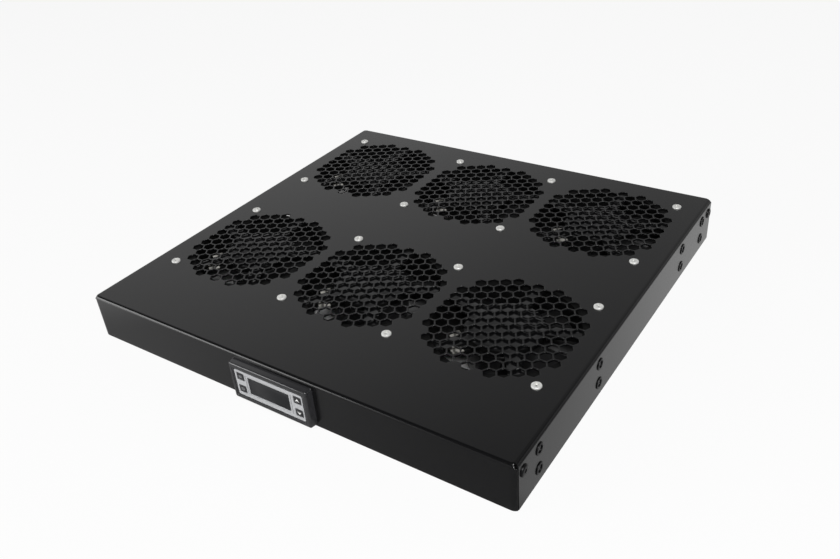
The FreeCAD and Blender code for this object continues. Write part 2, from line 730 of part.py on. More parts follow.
def socket_hollow():
    """Hollow of the socket, with its two upper corners cut away."""
    half, rise = SOCKET_WIDTH / 2, SOCKET_HEIGHT / 2
    y = BACK + INLET_FLANGE
    points = [(-half, -rise), (half, -rise), (half, rise - SOCKET_BEVEL),
              (half - SOCKET_BEVEL, rise), (SOCKET_BEVEL - half, rise),
              (-half, rise - SOCKET_BEVEL)]
    wire = outline([V(INLET_OFFSET + x, y, INLET_HEIGHT + z) for x, z in points])
    return Part.Face(wire).extrude(V(0, -SOCKET_DEPTH, 0))


def make_inlet():
    """Inlet housing: flange outside the wall, socket through it."""
    half, rise = INLET_BODY_WIDTH / 2, INLET_BODY_HEIGHT / 2
    body = upright(INLET_OFFSET - half, INLET_OFFSET + half, INLET_HEIGHT - rise,
                   INLET_HEIGHT + rise, BACK - INLET_BODY_DEPTH, BACK)
    half, rise = INLET_FLANGE_WIDTH / 2, INLET_FLANGE_HEIGHT / 2
    flange = upright(INLET_OFFSET - half, INLET_OFFSET + half, INLET_HEIGHT - rise,
                     INLET_HEIGHT + rise, BACK, BACK + INLET_FLANGE)
    inlet = body.fuse(flange)
    inlet = inlet.cut(socket_hollow())
    face = BACK + INLET_FLANGE
    for x in inlet_screw_columns():
        inlet = inlet.cut(bar(INLET_SCREW_HOLE, HOLE_SIDES, (x, BACK, INLET_HEIGHT),
                              (x, face, INLET_HEIGHT)))
        inlet = inlet.cut(inlet_screw_head(x, 0))
    return inlet.removeSplitter()


def inlet_screw_head(x, inset):
    """Countersunk head, or with no inset the room for it in the flange."""
    low, high = INLET_SCREW_HEAD - INLET_SCREW_SINK - inset, INLET_SCREW_HEAD - inset
    start = BACK + INLET_FLANGE - INLET_SCREW_SINK
    return Part.makeCone(low, high, INLET_SCREW_SINK, V(x, start, INLET_HEIGHT), V(0, 1, 0))


def pin_places():
    """Middles of the three pins in the rear wall's plane."""
    low, high = INLET_HEIGHT - PIN_DROP, INLET_HEIGHT + EARTH_RISE
    return ((INLET_OFFSET - PIN_SPREAD, low), (INLET_OFFSET + PIN_SPREAD, low),
            (INLET_OFFSET, high))


def make_inlet_pins():
    """Three flat pins, standing on the socket's floor."""
    floor = socket_floor()
    pins = []
    for cx, cz in pin_places():
        pins.append(upright(cx - PIN_WIDTH / 2, cx + PIN_WIDTH / 2, cz - PIN_HEIGHT / 2,
                            cz + PIN_HEIGHT / 2, floor, floor + PIN_LENGTH))
    return group(pins)


def make_inlet_tabs():
    """Connection tabs behind the inlet, one for each pin."""
    back = BACK - INLET_BODY_DEPTH
    tabs = []
    for cx, cz in pin_places():
        tabs.append(upright(cx - TAB_THICKNESS / 2, cx + TAB_THICKNESS / 2, cz - TAB_WIDTH / 2,
                            cz + TAB_WIDTH / 2, back - TAB_PROJECTION, back))
    return group(tabs)


def make_inlet_screws():
    """Countersunk screws of the inlet."""
    top = BACK + INLET_FLANGE - INLET_SCREW_SINK / 2
    return group([inlet_screw_head(x, NUT_CLEARANCE).fuse(
        bar(INLET_SCREW_SHANK, HOLE_SIDES, (x, top, INLET_HEIGHT),
            (x, top - INLET_SCREW_LENGTH, INLET_HEIGHT))) for x in inlet_screw_columns()])


def make_inlet_nuts():
    """Nuts of the inlet's screws, on the inside of the rear wall."""
    return group([nut((x, BACK - SHEET, INLET_HEIGHT), V(0, -1, 0), INLET_NUT_FLATS,
                      INLET_NUT_HEIGHT, INLET_SCREW_SHANK) for x in inlet_screw_columns()])


def make_parts():
    """Every sub-part by its name."""
    parts = {
        "top_plate": make_top_plate(),
        "front_wall": make_front_wall(),
        "rear_wall": make_rear_wall(),
        "left_wall": make_side_wall(-1),
        "right_wall": make_side_wall(1),
        "side_inserts": make_inserts(),
        "corner_screws": make_corner_screws(),
        "corner_nuts": make_corner_nuts(),
        "fan_screws": make_fan_screws(),
        "fan_nuts": make_fan_nuts(),
        "panel_bezel": make_bezel(),
        "panel_overlay": make_overlay(),
        "panel_window": window_block(OVERLAY_FRONT + WINDOW_RECESS),
        "panel_case": make_case(),
        "panel_clips": make_clips(),
        "panel_terminals": make_terminal_block(),
        "inlet_housing": make_inlet(),
        "inlet_pins": make_inlet_pins(),
        "inlet_tabs": make_inlet_tabs(),
        "inlet_screws": make_inlet_screws(),
        "inlet_nuts": make_inlet_nuts(),
    }
    for name, centre in key_places().items():
        parts[name] = make_key(centre)
    frame, rotor, lugs = fan_frame(), fan_rotor(), fan_lugs()
    for number, centre in enumerate(FAN_CENTRES):
        parts["fan_%d_frame" % (number + 1)] = placed(frame, centre)
        parts["fan_%d_rotor" % (number + 1)] = placed(rotor, centre, ROTOR_PHASES[number])
    parts["fan_lugs"] = group([placed(lug, centre) for centre in FAN_CENTRES for lug in lugs])
    return parts


os.makedirs("parts", exist_ok=True)
for name, shape in make_parts().items():
    shape.exportStep("parts/%s.step" % name)
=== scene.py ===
import bmesh
import bpy
import functools
import json
import math
from mathutils import Matrix, Vector


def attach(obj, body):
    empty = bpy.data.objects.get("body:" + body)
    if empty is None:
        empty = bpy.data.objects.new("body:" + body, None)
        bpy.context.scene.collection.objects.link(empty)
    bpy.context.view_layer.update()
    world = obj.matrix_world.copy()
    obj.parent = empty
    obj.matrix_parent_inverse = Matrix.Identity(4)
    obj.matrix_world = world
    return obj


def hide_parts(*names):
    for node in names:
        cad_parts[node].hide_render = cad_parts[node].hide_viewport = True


# Rack fan tray: folded and powder-coated steel sheet with hexagonal perforations over
# six axial fans, and a thermostat in its front wall. Metres, in the frame of the CAD.

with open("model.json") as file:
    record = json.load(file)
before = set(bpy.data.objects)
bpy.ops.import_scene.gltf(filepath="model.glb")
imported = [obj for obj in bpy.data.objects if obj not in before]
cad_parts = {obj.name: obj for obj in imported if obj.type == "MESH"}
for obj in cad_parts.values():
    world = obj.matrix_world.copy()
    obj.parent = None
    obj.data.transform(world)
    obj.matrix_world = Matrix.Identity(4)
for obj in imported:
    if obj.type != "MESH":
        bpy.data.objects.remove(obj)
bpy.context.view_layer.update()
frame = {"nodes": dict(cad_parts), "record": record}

MM = 0.001
WELD = 0.004                # points nearer than this become one

# Folded sheet, from its outside
TRAY_WIDTH = 402.0
TRAY_DEPTH = 386.0
TRAY_HEIGHT = 40.3
SHEET = 1.5
BEND_RADIUS = 2.6
BEND_STEPS = 9
UPRIGHT_RUN = 5.0           # breadth of the bends between the end walls and their tabs
UPRIGHT_INSET = 0.25        # of these bends from the side faces
RIM_ROUNDING = 0.35
WALL_ZONE = 8.0             # within this of the front and back lie only the walls and bends
CORNER_RADIUS = 6.0         # of the top's corners, seen from above
FRONT = -191.4
BACK = FRONT + TRAY_DEPTH
SIDE_LINE = TRAY_WIDTH / 2 - BEND_RADIUS            # where the side bends start
UPRIGHT_LINE = TRAY_WIDTH / 2 - UPRIGHT_INSET - UPRIGHT_RUN
TAB_FACE = TRAY_WIDTH / 2 - SHEET
OVERHANG_STEPS = 2          # steps of the side bend that the end bends reach over
TAB_TOP = 37.4
TAB_LENGTH = 20.0
THERMOSTAT_CUTOUT = (-35.5, 35.5, 4.1, 33.1)        # left, right, bottom, top
INLET_CUTOUT = (-139.35, -111.25, 9.15, 29.85)
FRONT_COLUMNS = (-SIDE_LINE, -UPRIGHT_LINE, *THERMOSTAT_CUTOUT[:2], UPRIGHT_LINE, SIDE_LINE)
REAR_COLUMNS = (-SIDE_LINE, -UPRIGHT_LINE, *INLET_CUTOUT[:2], UPRIGHT_LINE, SIDE_LINE)

# Perforation over each fan
HEX_PITCH = 10.15
HEX_OPENING = 8.8           # across the flats
HEX_COLUMNS = 6             # on each side of the middle one
PATCH_RADIUS = 60.5         # cells whose centre lies inside this are open
WEB_ROUNDING = 0.2

# Fasteners
SCREW = {"Head Radius": 3.9 * MM, "Head Height": 1.5 * MM, "Recess Length": 3.8 * MM,
         "Recess Width": 1.2 * MM, "Recess Depth": 2.4 * MM, "Shank Radius": 1.85 * MM,
         "Shank Length": 12.0 * MM, "Seed": 7}
INSERT = {"Flange Radius": 4.8 * MM, "Flange": 0.8 * MM, "Bore Radius": 2.1 * MM,
          "Shank Radius": 3.6 * MM, "Length": 10.5 * MM, "Thread Pitch": 0.8 * MM}
CORNER_SCREW = {"Head Radius": 4.6 * MM, "Head Height": 1.3 * MM, "Socket Radius": 1.75 * MM,
                "Socket Depth": 2.0 * MM, "Shank Radius": 1.85 * MM, "Shank Length": 9.0 * MM}
HEAD_SIDES = 36
SHANK_SIDES = 20
INSERT_SIDES = 32
CRISP_ANGLE = 0.6           # radians; sharper edges of the fasteners stay crisp
THREAD_TURNS = 6
INSERT_PLACES = (31.0, 127.5, 305.3, 358.8)         # from the front face
INSERT_ROWS = (12.0, 29.5)
CORNER_SCREW_INSET = 9.5
CORNER_SCREW_HEIGHT = 29.5

# Fans, seen from above
FAN_COLUMNS = (-125.3, 0.0, 125.3)
FAN_ROWS = (FRONT + 125.4, FRONT + 303.3)
FAN_HOLE_PITCH = 105.0
FAN_CENTRES = [(x, y) for y in FAN_ROWS for x in FAN_COLUMNS]
FAN_BASE = 0.8
MOTOR_TOP = 38.4
HOUSING_ROUNDING = 0.5

# Rotors, about their own axis with the fan's intake face at zero
HUB_RADIUS = 30.0
HUB_BOTTOM = 3.0
HUB_TOP = 31.6
SHAFT_TOP = 35.8
BLADE_COUNT = 5
BLADE_THICKNESS = 2.0
BLADE_CAMBER = 3.5
BLADE_BOTTOM = 5.0
TIP_RADIUS = 56.2
BLADE_ROOT = (21.213, 22.0, 23.0)       # radius, chord and rise
BLADE_TIP = (TIP_RADIUS, 44.0, 19.0)
CHORD_STEPS = 14
SPAN_STEPS = 5
ROTOR_SIDES = 64
ROTOR_PHASES = (8.0, 31.0, 52.0, 20.0, 64.0, 43.0)

# Thermostat
PANEL_HEIGHT = 18.6
BEZEL_WIDTH = 77.2
BEZEL_HEIGHT = 34.4
BEZEL_DEPTH = 6.2
PANEL_FRONT = FRONT - BEZEL_DEPTH
OVERLAY_FRONT = PANEL_FRONT + 0.7
OVERLAY_BACK = OVERLAY_FRONT + 0.9
OVERLAY_WIDTH = 66.0
OVERLAY_HEIGHT = 23.9
OVERLAY_PLACE = (-0.4, -0.5)            # its middle from the middle of the panel
WINDOW_WIDTH = 40.6
WINDOW_HEIGHT = 16.0
WINDOW_PLACE = (-0.6, -0.2)
PRINT_WIDTH = 42.4
PRINT_HEIGHT = 18.2
PRINT_FRONT = OVERLAY_FRONT - 0.03
KEY_WIDTH = 6.4
KEY_HEIGHT = 5.8
KEY_PROUD = 0.25
KEY_FLANGE = 0.8
INK = 0.03                              # thickness of a glyph
KEY_PLACES = {"key_set": (-27.9, 5.95), "key_menu": (-27.9, -5.95),
              "key_up": (27.9, 5.95), "key_down": (27.9, -5.95)}


def bar(left, low, right, high):
    """Corners of an upright rectangle."""
    return [(left, low), (right, low), (right, high), (left, high)]


# Glyphs: two bars, a small frame, and an arrow up and down
KEY_GLYPHS = {
    "key_set": [bar(-1.5, 0.3, 1.5, 0.9), bar(-1.5, -0.9, 1.5, -0.3)],
    "key_menu": [bar(-1.4, 0.6, 1.4, 1.1), bar(-1.4, -1.1, 1.4, -0.6),
                 bar(-1.4, -0.6, -0.9, 0.6), bar(0.9, -0.6, 1.4, 0.6)],
    "key_up": [[(-2.1, -1.3), (0.0, -0.4), (2.1, -1.3), (0.0, 1.7)]],
    "key_down": [[(-2.1, 1.3), (0.0, -1.7), (2.1, 1.3), (0.0, 0.4)]],
}

# Rounded copies of the CAD nodes behind the thermostat's front and of the mains inlet:
# name, node, finish and rounding
COPIES = (("thermostat_case", "panel_case", "case_plastic", 0.5),
          ("thermostat_clips", "panel_clips", "case_plastic", 0.25),
          ("thermostat_terminals", "panel_terminals", "terminal_plastic", 0.25),
          ("inlet_moulding", "inlet_housing", "inlet_plastic", 0.35),
          ("inlet_blades", "inlet_pins", "contact_metal", 0.35),
          ("inlet_tags", "inlet_tabs", "contact_metal", 0.15))

# Camera, solved from the tray's edges in the photograph
CAMERA_PLACE = (369.29, -505.63, 410.35)
CAMERA_AZIMUTH = 35.997
CAMERA_ELEVATION = 32.958
CAMERA_ROLL = 4.875
FOCAL_PIXELS = 823.27
IMAGE_WIDTH = 840
SENSOR = 36.0

# Studio, as brightness by direction. The horizon is pale all round and the ceiling dark,
# with one wide soft panel behind on the left, and a brighter patch in it.
HORIZON = (0.12, 0.36, 0.38, 0.02)      # sines of the heights where it fades, both levels
PANEL_TOP = (0.66, 0.88)                # sines of the heights where the panel fades
PANEL_BACK = (-0.15, 0.25)
PANEL_RIGHT = (0.15, 0.75)
PANEL_LEVELS = (0.46, 0.30)             # low and high up
# Way of the patch, the cosines where it starts and is full, and its strength
LEFT_PATCH = ((-0.78, 0.57, 0.25), 0.80, 0.98, 0.26)

# The floor's painted light and shade, seen only in the gloss: its level near the front right
# corner, where it is painted shade of the tray, gained along the front to the left, beside the
# right wall, gained along it to the back, and a painted pool of light beside the front left corner
PAINTED_FLOOR_LEVELS = (0.19, 0.22, 0.26, 0.27)
PAINTED_LIGHT_POOL = ((-0.38, -0.48), 0.34, 0.1, 2.6)       # place, far and full distance, strength
FLOOR_SPAN = 0.2                        # half the tray's width, where the levels are reached
SHADE_INSET = 6.0                       # of the tray's shade on the floor from its rim
# Place, aim, size and power of each lamp
LAMPS = {"soft_front": ((0.9, -1.0, 1.5), (0, 0, 0), (0.9, 0.7), 32),
         "low_left": ((-1.15, -1.1, 0.38), (0, -0.15, 0), (1.1, 0.6), 10)}


# Node trees

def add(tree, kind, inputs=None, **settings):
    """Adds a node, with its settings, and a value or a link for each named input."""
    node = tree.nodes.new(kind)
    for name, value in settings.items():
        setattr(node, name, value)
    for name, value in (inputs or {}).items():
        if isinstance(value, bpy.types.NodeSocket):
            tree.links.new(value, node.inputs[name])
        else:
            node.inputs[name].default_value = value
    return node


def sum_of(tree, operation, first, second=0.0):
    """Result of one sum on two numbers or sockets."""
    return add(tree, "ShaderNodeMath", {0: first, 1: second}, operation=operation).outputs[0]


def sums(tree):
    """The four common sums of a tree, each of two numbers or sockets."""
    return [functools.partial(sum_of, tree, kind)
            for kind in ("ADD", "SUBTRACT", "MULTIPLY", "DIVIDE")]


def colour(text):
    """Linear colour of an sRGB hex value."""
    levels = [int(text[k:k + 2], 16) / 255 for k in (1, 3, 5)]
    return (*[v / 12.92 if v <= 0.04045 else ((v + 0.055) / 1.055) ** 2.4 for v in levels], 1.0)


def surface(name, base, roughness, metallic=0.0, more=None):
    """Material with one Principled surface, ready for its pattern."""
    material = bpy.data.materials.new(name)
    material.use_nodes = True
    tree = material.node_tree
    tree.nodes.clear()
    shader = add(tree, "ShaderNodeBsdfPrincipled",
                 {"Base Color": colour(base), "Roughness": roughness, "Metallic": metallic,
                  **(more or {})})
    out = add(tree, "ShaderNodeOutputMaterial", {"Surface": shader.outputs[0]})
    out.is_active_output = True
    return material, tree, shader


def grain(tree, shader, size_mm, depth_mm, strength, detail=2.0, roughness_swing=0.0):
    """Fine relief over the whole surface, from noise of a real grain size."""
    place = add(tree, "ShaderNodeTexCoord")
    noise = add(tree, "ShaderNodeTexNoise",
                {"Vector": place.outputs["Object"], "Scale": 1 / (size_mm * MM), "Detail": detail})
    bump = add(tree, "ShaderNodeBump",
               {"Height": noise.outputs[0], "Strength": strength, "Distance": depth_mm * MM})
    tree.links.new(bump.outputs[0], shader.inputs["Normal"])
    if roughness_swing:
        middle = shader.inputs["Roughness"].default_value
        spread = add(tree, "ShaderNodeMapRange",
                     {"Value": noise.outputs[0], "To Min": middle - roughness_swing,
                      "To Max": middle + roughness_swing})
        tree.links.new(spread.outputs[0], shader.inputs["Roughness"])


def finish(look, relief, more=None):
    """Material of a look (name, colour, roughness, metallic) with a relief of its grain (size
    and depth in millimetres, strength, detail, swing of the roughness)."""
    material, tree, shader = surface(*look, more=more)
    grain(tree, shader, *relief)
    return material


FINISHES = {
    # Black polyester powder on steel: semi-gloss, with the faint orange peel of the melt
    "sheet_coat": finish(("powder_coat_black", "#0e0e0f", 0.21),
                         (0.9, 0.02, 0.15, 3.0, 0.03), {"IOR": 1.5}),
    # Blackened steel of the inserts and corner screws: thin, slightly shiny
    "black_hardware": finish(("black_oxide_steel", "#1d1d1e", 0.34, 0.6), (0.4, 0.01, 0.2)),
    # Zinc plating of the pan-headed screws, clouded by its pale passivation film
    "zinc_steel": finish(("passivated_zinc_plating", "#f2f2ef", 0.42, 0.4),
                         (0.25, 0.01, 0.2, 2.0, 0.06)),
    # Duller zinc plating of the nuts
    "nut_steel": finish(("dull_zinc_plating", "#a9a9a4", 0.4, 1.0), (0.3, 0.01, 0.3, 2.0, 0.06)),
    # Painted die-cast aluminium of the fan housings: satin, with casting grain under it
    "fan_housing": finish(("painted_diecast_black", "#0a0a0a", 0.6),
                          (0.7, 0.03, 0.2, 3.0, 0.05), {"Specular IOR Level": 0.12}),
    # Glass-filled PBT of the rotors: dark and satin
    "impeller_plastic": finish(("moulded_pbt_black", "#101011", 0.45), (0.35, 0.01, 0.2)),
    # Tinned brass of the supply lugs
    "lug_metal": finish(("tinned_brass", "#cfcdc6", 0.3, 1.0), (0.3, 0.01, 0.2)),
    # Grained ABS of the thermostat's bezel: eroded texture, dark grey
    "bezel_plastic": finish(("eroded_abs_grey", "#2d2d2f", 0.16),
                            (0.28, 0.02, 0.2, 2.0, 0.05), {"Specular IOR Level": 0.8}),
    # Screen-printed polycarbonate film: silver-grey with a very fine matt grain
    "overlay_film": finish(("printed_film_silver", "#b9babc", 0.42), (0.12, 0.005, 0.25)),
    # Clear dark film over the unlit display
    "window_plastic": finish(("smoked_display_window", "#1b1c1f", 0.34), (0.6, 0.004, 0.1)),
    # Moulded key caps: dark grey, matt
    "key_plastic": finish(("moulded_key_grey", "#29292b", 0.45), (0.15, 0.008, 0.3)),
    # Moulded case, clips and terminals behind the wall: black, matt
    "case_plastic": finish(("moulded_case_black", "#1a1a1b", 0.5), (0.3, 0.015, 0.3)),
    "terminal_plastic": finish(("moulded_case_black", "#1a1a1b", 0.5), (0.3, 0.015, 0.3)),
    # Moulded nylon of the mains inlet: black with a low gloss
    "inlet_plastic": finish(("moulded_nylon_black", "#161616", 0.38), (0.3, 0.012, 0.25)),
    # Nickel plating of the inlet's pins and tabs
    "contact_metal": finish(("nickel_plating", "#c9c4b8", 0.22, 1.0), (0.3, 0.006, 0.2)),
}
# Smooth paint on the flat motor bases and struts, close under the perforation
BASE_GLOSS = finish(("smooth_base_black", "#0f0f10", 0.1), (2.0, 0.01, 0.1))
# Screen-printing ink on the overlay and keys: flat and matt
PRINTS = {tone: finish(("screen_ink_" + tone, base, 0.5), (0.1, 0.003, 0.2))
          for tone, base in (("pale", "#aeafb1"), ("dark", "#56575a"),
                             ("grey", "#8d8e91"), ("white", "#ededeb"))}


def dress_frame():
    """Gives every CAD node the finish of its slot."""
    for part in frame["record"]["subparts"]:
        node = frame["nodes"][part["node"]]
        node.data.materials.clear()
        node.data.materials.append(FINISHES[part["material_slot"]])


# Folded sheet

def bend_points():
    """Run and drop of a quarter bend, seen from the line where it starts."""
    turns = [math.pi / 2 * k / BEND_STEPS for k in range(BEND_STEPS + 1)]
    return [(BEND_RADIUS * math.sin(a), BEND_RADIUS * (1 - math.cos(a))) for a in turns]


def weave(bm, rows):
    """Quads between rows of points of equal length."""
    lines = [[bm.verts.new(Vector(point) * MM) for point in row] for row in rows]
    for low, high in zip(lines, lines[1:]):
        for k in range(len(low) - 1):
            bm.faces.new((low[k], low[k + 1], high[k + 1], high[k]))


def between(values, low, high):
    """Whether all values lie between two limits."""
    return all(low - 0.01 <= value <= high + 0.01 for value in values)


def end_flap(bm, way, cutout, columns):
    """Front wall (way -1) or rear wall (way 1): its top bend with a short overhang at each
    end, its face with a cut-out, and the two upright bends with the tabs behind the sides."""
    line = (FRONT if way < 0 else BACK) - way * BEND_RADIUS
    arc = bend_points()
    overhang = [(SIDE_LINE + run, drop) for run, drop in arc[1:OVERHANG_STEPS + 1]]
    across = [(-x, drop) for x, drop in reversed(overhang)]
    across += [(x, 0.0) for x in columns] + overhang
    weave(bm, [[(x, line + way * run, TRAY_HEIGHT - drop - low) for x, low in across]
               for run, drop in arc])
    face = line + way * BEND_RADIUS
    left, right, bottom, top = cutout
    heights = [TRAY_HEIGHT - BEND_RADIUS, TAB_TOP, top, bottom, 0.0]
    flat = [x for x in columns if abs(x) <= UPRIGHT_LINE]
    for high, low in zip(heights, heights[1:]):
        for x0, x1 in zip(flat, flat[1:]):
            if not (between((x0, x1), left, right) and between((high, low), bottom, top)):
                weave(bm, [[(x0, face, z), (x1, face, z)] for z in (high, low)])
    for side in (-1, 1):
        path = [(UPRIGHT_LINE + run * UPRIGHT_RUN / BEND_RADIUS, drop)
                for run, drop in arc[:-1]]
        path += [(TAB_FACE, BEND_RADIUS + 0.5), (TAB_FACE, TAB_LENGTH)]
        weave(bm, [[(side * x, face - way * inset, z) for x, inset in path]
                   for z in heights[1:]])


def side_flap(bm, side):
    """Side wall with its bend, from bend line to bend line of the end walls."""
    ends = (FRONT + BEND_RADIUS, BACK - BEND_RADIUS)
    rows = [[(side * (SIDE_LINE + run), y, TRAY_HEIGHT - drop) for y in ends]
            for run, drop in bend_points()]
    weave(bm, rows + [[(side * (SIDE_LINE + BEND_RADIUS), y, 0.0) for y in ends]])


def hexagon_corners(x, y):
    """Corners of one cell of the perforation, at the middle of the webs."""
    reach = HEX_PITCH / math.sqrt(3)
    return [(round(x + reach * math.cos(math.radians(60 * k)), 4),
             round(y + reach * math.sin(math.radians(60 * k)), 4)) for k in range(6)]


def patch_cells():
    """Centres of the cells of one patch, columns shifted by half a cell in turn."""
    step = HEX_PITCH * math.sqrt(3) / 2
    lattice = [(column * step, (row + (0.5 if column % 2 == 0 else 0.0)) * HEX_PITCH)
               for column in range(-HEX_COLUMNS, HEX_COLUMNS + 1)
               for row in range(-HEX_COLUMNS - 1, HEX_COLUMNS + 1)]
    return [place for place in lattice if math.hypot(*place) < PATCH_RADIUS]


def patch_rim():
    """Edges of the patch's jagged rim: those that belong to one cell only."""
    seen = {}
    for x, y in patch_cells():
        corners = hexagon_corners(x, y)
        for k in range(6):
            key = frozenset((corners[k], corners[(k + 1) % 6]))
            seen[key] = seen.get(key, 0) + 1
    return [tuple(key) for key, count in seen.items() if count == 1]


def plate_surround(bm):
    """Flat top around the six perforated patches."""
    corners = {}

    def corner(x, y):
        key = (round(x, 3), round(y, 3))
        if key not in corners:
            corners[key] = bm.verts.new(Vector((x, y, TRAY_HEIGHT)) * MM)
        return corners[key]

    near, far = FRONT + BEND_RADIUS, BACK - BEND_RADIUS
    loop = [(x, near) for x in FRONT_COLUMNS] + [(x, far) for x in reversed(REAR_COLUMNS)]
    edges = list(zip(loop, loop[1:] + loop[:1]))
    rim = patch_rim()
    for cx, cy in FAN_CENTRES:
        edges += [((a[0] + cx, a[1] + cy), (b[0] + cx, b[1] + cy)) for a, b in rim]
    made = [bm.edges.new((corner(*a), corner(*b))) for a, b in edges]
    bmesh.ops.triangle_fill(bm, use_beauty=True, edges=made, normal=(0, 0, 1))


def put(name, data):
    """New object in the scene."""
    piece = bpy.data.objects.new(name, data)
    bpy.context.scene.collection.objects.link(piece)
    return piece


def make_object(name, bm):
    """Mesh object from a bmesh."""
    mesh = bpy.data.meshes.new(name)
    bm.to_mesh(mesh)
    bm.free()
    return put(name, mesh)


def settle(piece):
    """Turns the evaluated shape into the piece's own plain mesh, without modifiers."""
    bpy.context.view_layer.update()
    graph = bpy.context.evaluated_depsgraph_get()
    mesh = bpy.data.meshes.new_from_object(piece.evaluated_get(graph))
    piece.modifiers.clear()
    old, piece.data = piece.data, mesh
    mesh.name = piece.name
    bpy.data.meshes.remove(old)
    return piece


def all_smooth(mesh):
    """Smooth shading on every face."""
    mesh.polygons.foreach_set("use_smooth", [True] * len(mesh.polygons))


def weld(bm, distance=WELD):
    """Makes one point of those nearer to each other than a distance."""
    bmesh.ops.remove_doubles(bm, verts=bm.verts, dist=distance * MM)


def soften(piece, width_mm, angle):
    """Rounds the edges sharper than an angle and keeps the flats flat to the eye."""
    all_smooth(piece.data)
    bevel = piece.modifiers.new("edges", "BEVEL")
    bevel.width, bevel.segments = width_mm * MM, 2
    bevel.limit_method, bevel.angle_limit = "ANGLE", math.radians(angle)
    bevel.harden_normals = True
    return settle(piece)


def thicken(piece, thickness_mm, even=False):
    """Gives an open shape its thickness, behind its faces."""
    solid = piece.modifiers.new("sheet", "SOLIDIFY")
    solid.thickness, solid.offset, solid.use_even_offset = thickness_mm * MM, -1.0, even
    return settle(piece)


def folded_skin():
    """Sheet with its flaps, without the perforated patches and the hidden face that
    thickening leaves around each of them."""
    bm = bmesh.new()
    plate_surround(bm)
    end_flap(bm, -1, THERMOSTAT_CUTOUT, FRONT_COLUMNS)
    end_flap(bm, 1, INLET_CUTOUT, REAR_COLUMNS)
    for side in (-1, 1):
        side_flap(bm, side)
    weld(bm)
    bmesh.ops.recalc_face_normals(bm, faces=bm.faces)
    top = max(bm.faces, key=lambda face: face.calc_center_median().z)
    if top.normal.z < 0:
        bmesh.ops.reverse_faces(bm, faces=bm.faces)
    piece = thicken(make_object("folded_sheet", bm), SHEET, even=True)
    bm = bmesh.new()
    bm.from_mesh(piece.data)
    near, far = FRONT + WALL_ZONE, BACK - WALL_ZONE
    inside = [face for face in bm.faces if abs(face.normal.z) < 0.1
              and abs(face.calc_center_median().x) < (SIDE_LINE - 4) * MM
              and near < face.calc_center_median().y / MM < far]
    bmesh.ops.delete(bm, geom=inside, context="FACES_ONLY")
    bm.to_mesh(piece.data)
    bm.free()
    return soften(piece, RIM_ROUNDING, 35.0)


def round_corners(mesh):
    """Rounds the top's corners as seen from above, less and less down the bends."""
    middle = (FRONT + BACK) / 2
    for vertex in mesh.vertices:
        x, y, z = vertex.co / MM
        over = abs(x) - TRAY_WIDTH / 2 + CORNER_RADIUS
        past = abs(y - middle) - TRAY_DEPTH / 2 + CORNER_RADIUS
        weight = min(max(z - TRAY_HEIGHT + BEND_RADIUS, 0.0), 1.0)
        if over > 0 and past > 0 and weight > 0:
            pull = weight * (1 - max(over, past) / math.hypot(over, past)) * MM
            vertex.co.x -= math.copysign(over * pull, x)
            vertex.co.y -= math.copysign(past * pull, y - middle)


# Geometry Nodes

def new_tree(name, sizes):
    """Empty geometry tree with a named input for each size, and its two end nodes."""
    tree = bpy.data.node_groups.new(name, "GeometryNodeTree")
    for way in ("INPUT", "OUTPUT"):
        tree.interface.new_socket("Geometry", in_out=way, socket_type="NodeSocketGeometry")
    for title, value in sizes.items():
        kind = "NodeSocketInt" if isinstance(value, int) else "NodeSocketFloat"
        socket = tree.interface.new_socket(title, in_out="INPUT", socket_type=kind)
        socket.default_value = value
    tree.interface.new_socket("Finish", in_out="INPUT", socket_type="NodeSocketMaterial")
    return tree, add(tree, "NodeGroupInput").outputs


def close_tree(tree, source, geometry):
    """Real geometry with its material at the tree's end."""
    real = add(tree, "GeometryNodeRealizeInstances", {"Geometry": geometry})
    joined = add(tree, "GeometryNodeMergeByDistance",
                 {"Geometry": real.outputs[0], "Distance": WELD * MM})
    done = add(tree, "GeometryNodeSetMaterial",
               {"Geometry": joined.outputs[0], "Material": source["Finish"]})
    add(tree, "NodeGroupOutput", {"Geometry": done.outputs[0]})


def lift(tree, shape, height, factor):
    """Draws the last face of a shape out by a height and scales it by a factor."""
    mesh, top = shape
    drawn = add(tree, "GeometryNodeExtrudeMesh",
                {"Mesh": mesh, "Selection": top, "Offset Scale": height, "Individual": False})
    sized = add(tree, "GeometryNodeScaleElements",
                {"Geometry": drawn.outputs["Mesh"], "Selection": drawn.outputs["Top"],
                 "Scale": factor})
    return sized.outputs[0], drawn.outputs["Top"]


def opened(tree, shape):
    """Shape without its last face."""
    return add(tree, "GeometryNodeDeleteGeometry", {"Geometry": shape[0], "Selection": shape[1]},
               domain="FACE").outputs[0]


def grow(name, points, build, sizes, slot):
    """Object whose points carry the shapes of a tree, which is named for its builder, turned
    into a plain mesh."""
    tree, source = new_tree(build.__name__, sizes)
    close_tree(tree, source, build(tree, source))
    bm = bmesh.new()
    for point in points:
        bm.verts.new(Vector(point) * MM)
    piece = make_object(name, bm)
    nodes = piece.modifiers.new(name, "NODES")
    nodes.node_group = tree
    named = {item.name: item.identifier for item in tree.interface.items_tree
             if item.in_out == "INPUT"}
    for title, value in sizes.items():
        nodes[named[title]] = value
    nodes[named["Finish"]] = FINISHES[slot]
    return settle(piece)


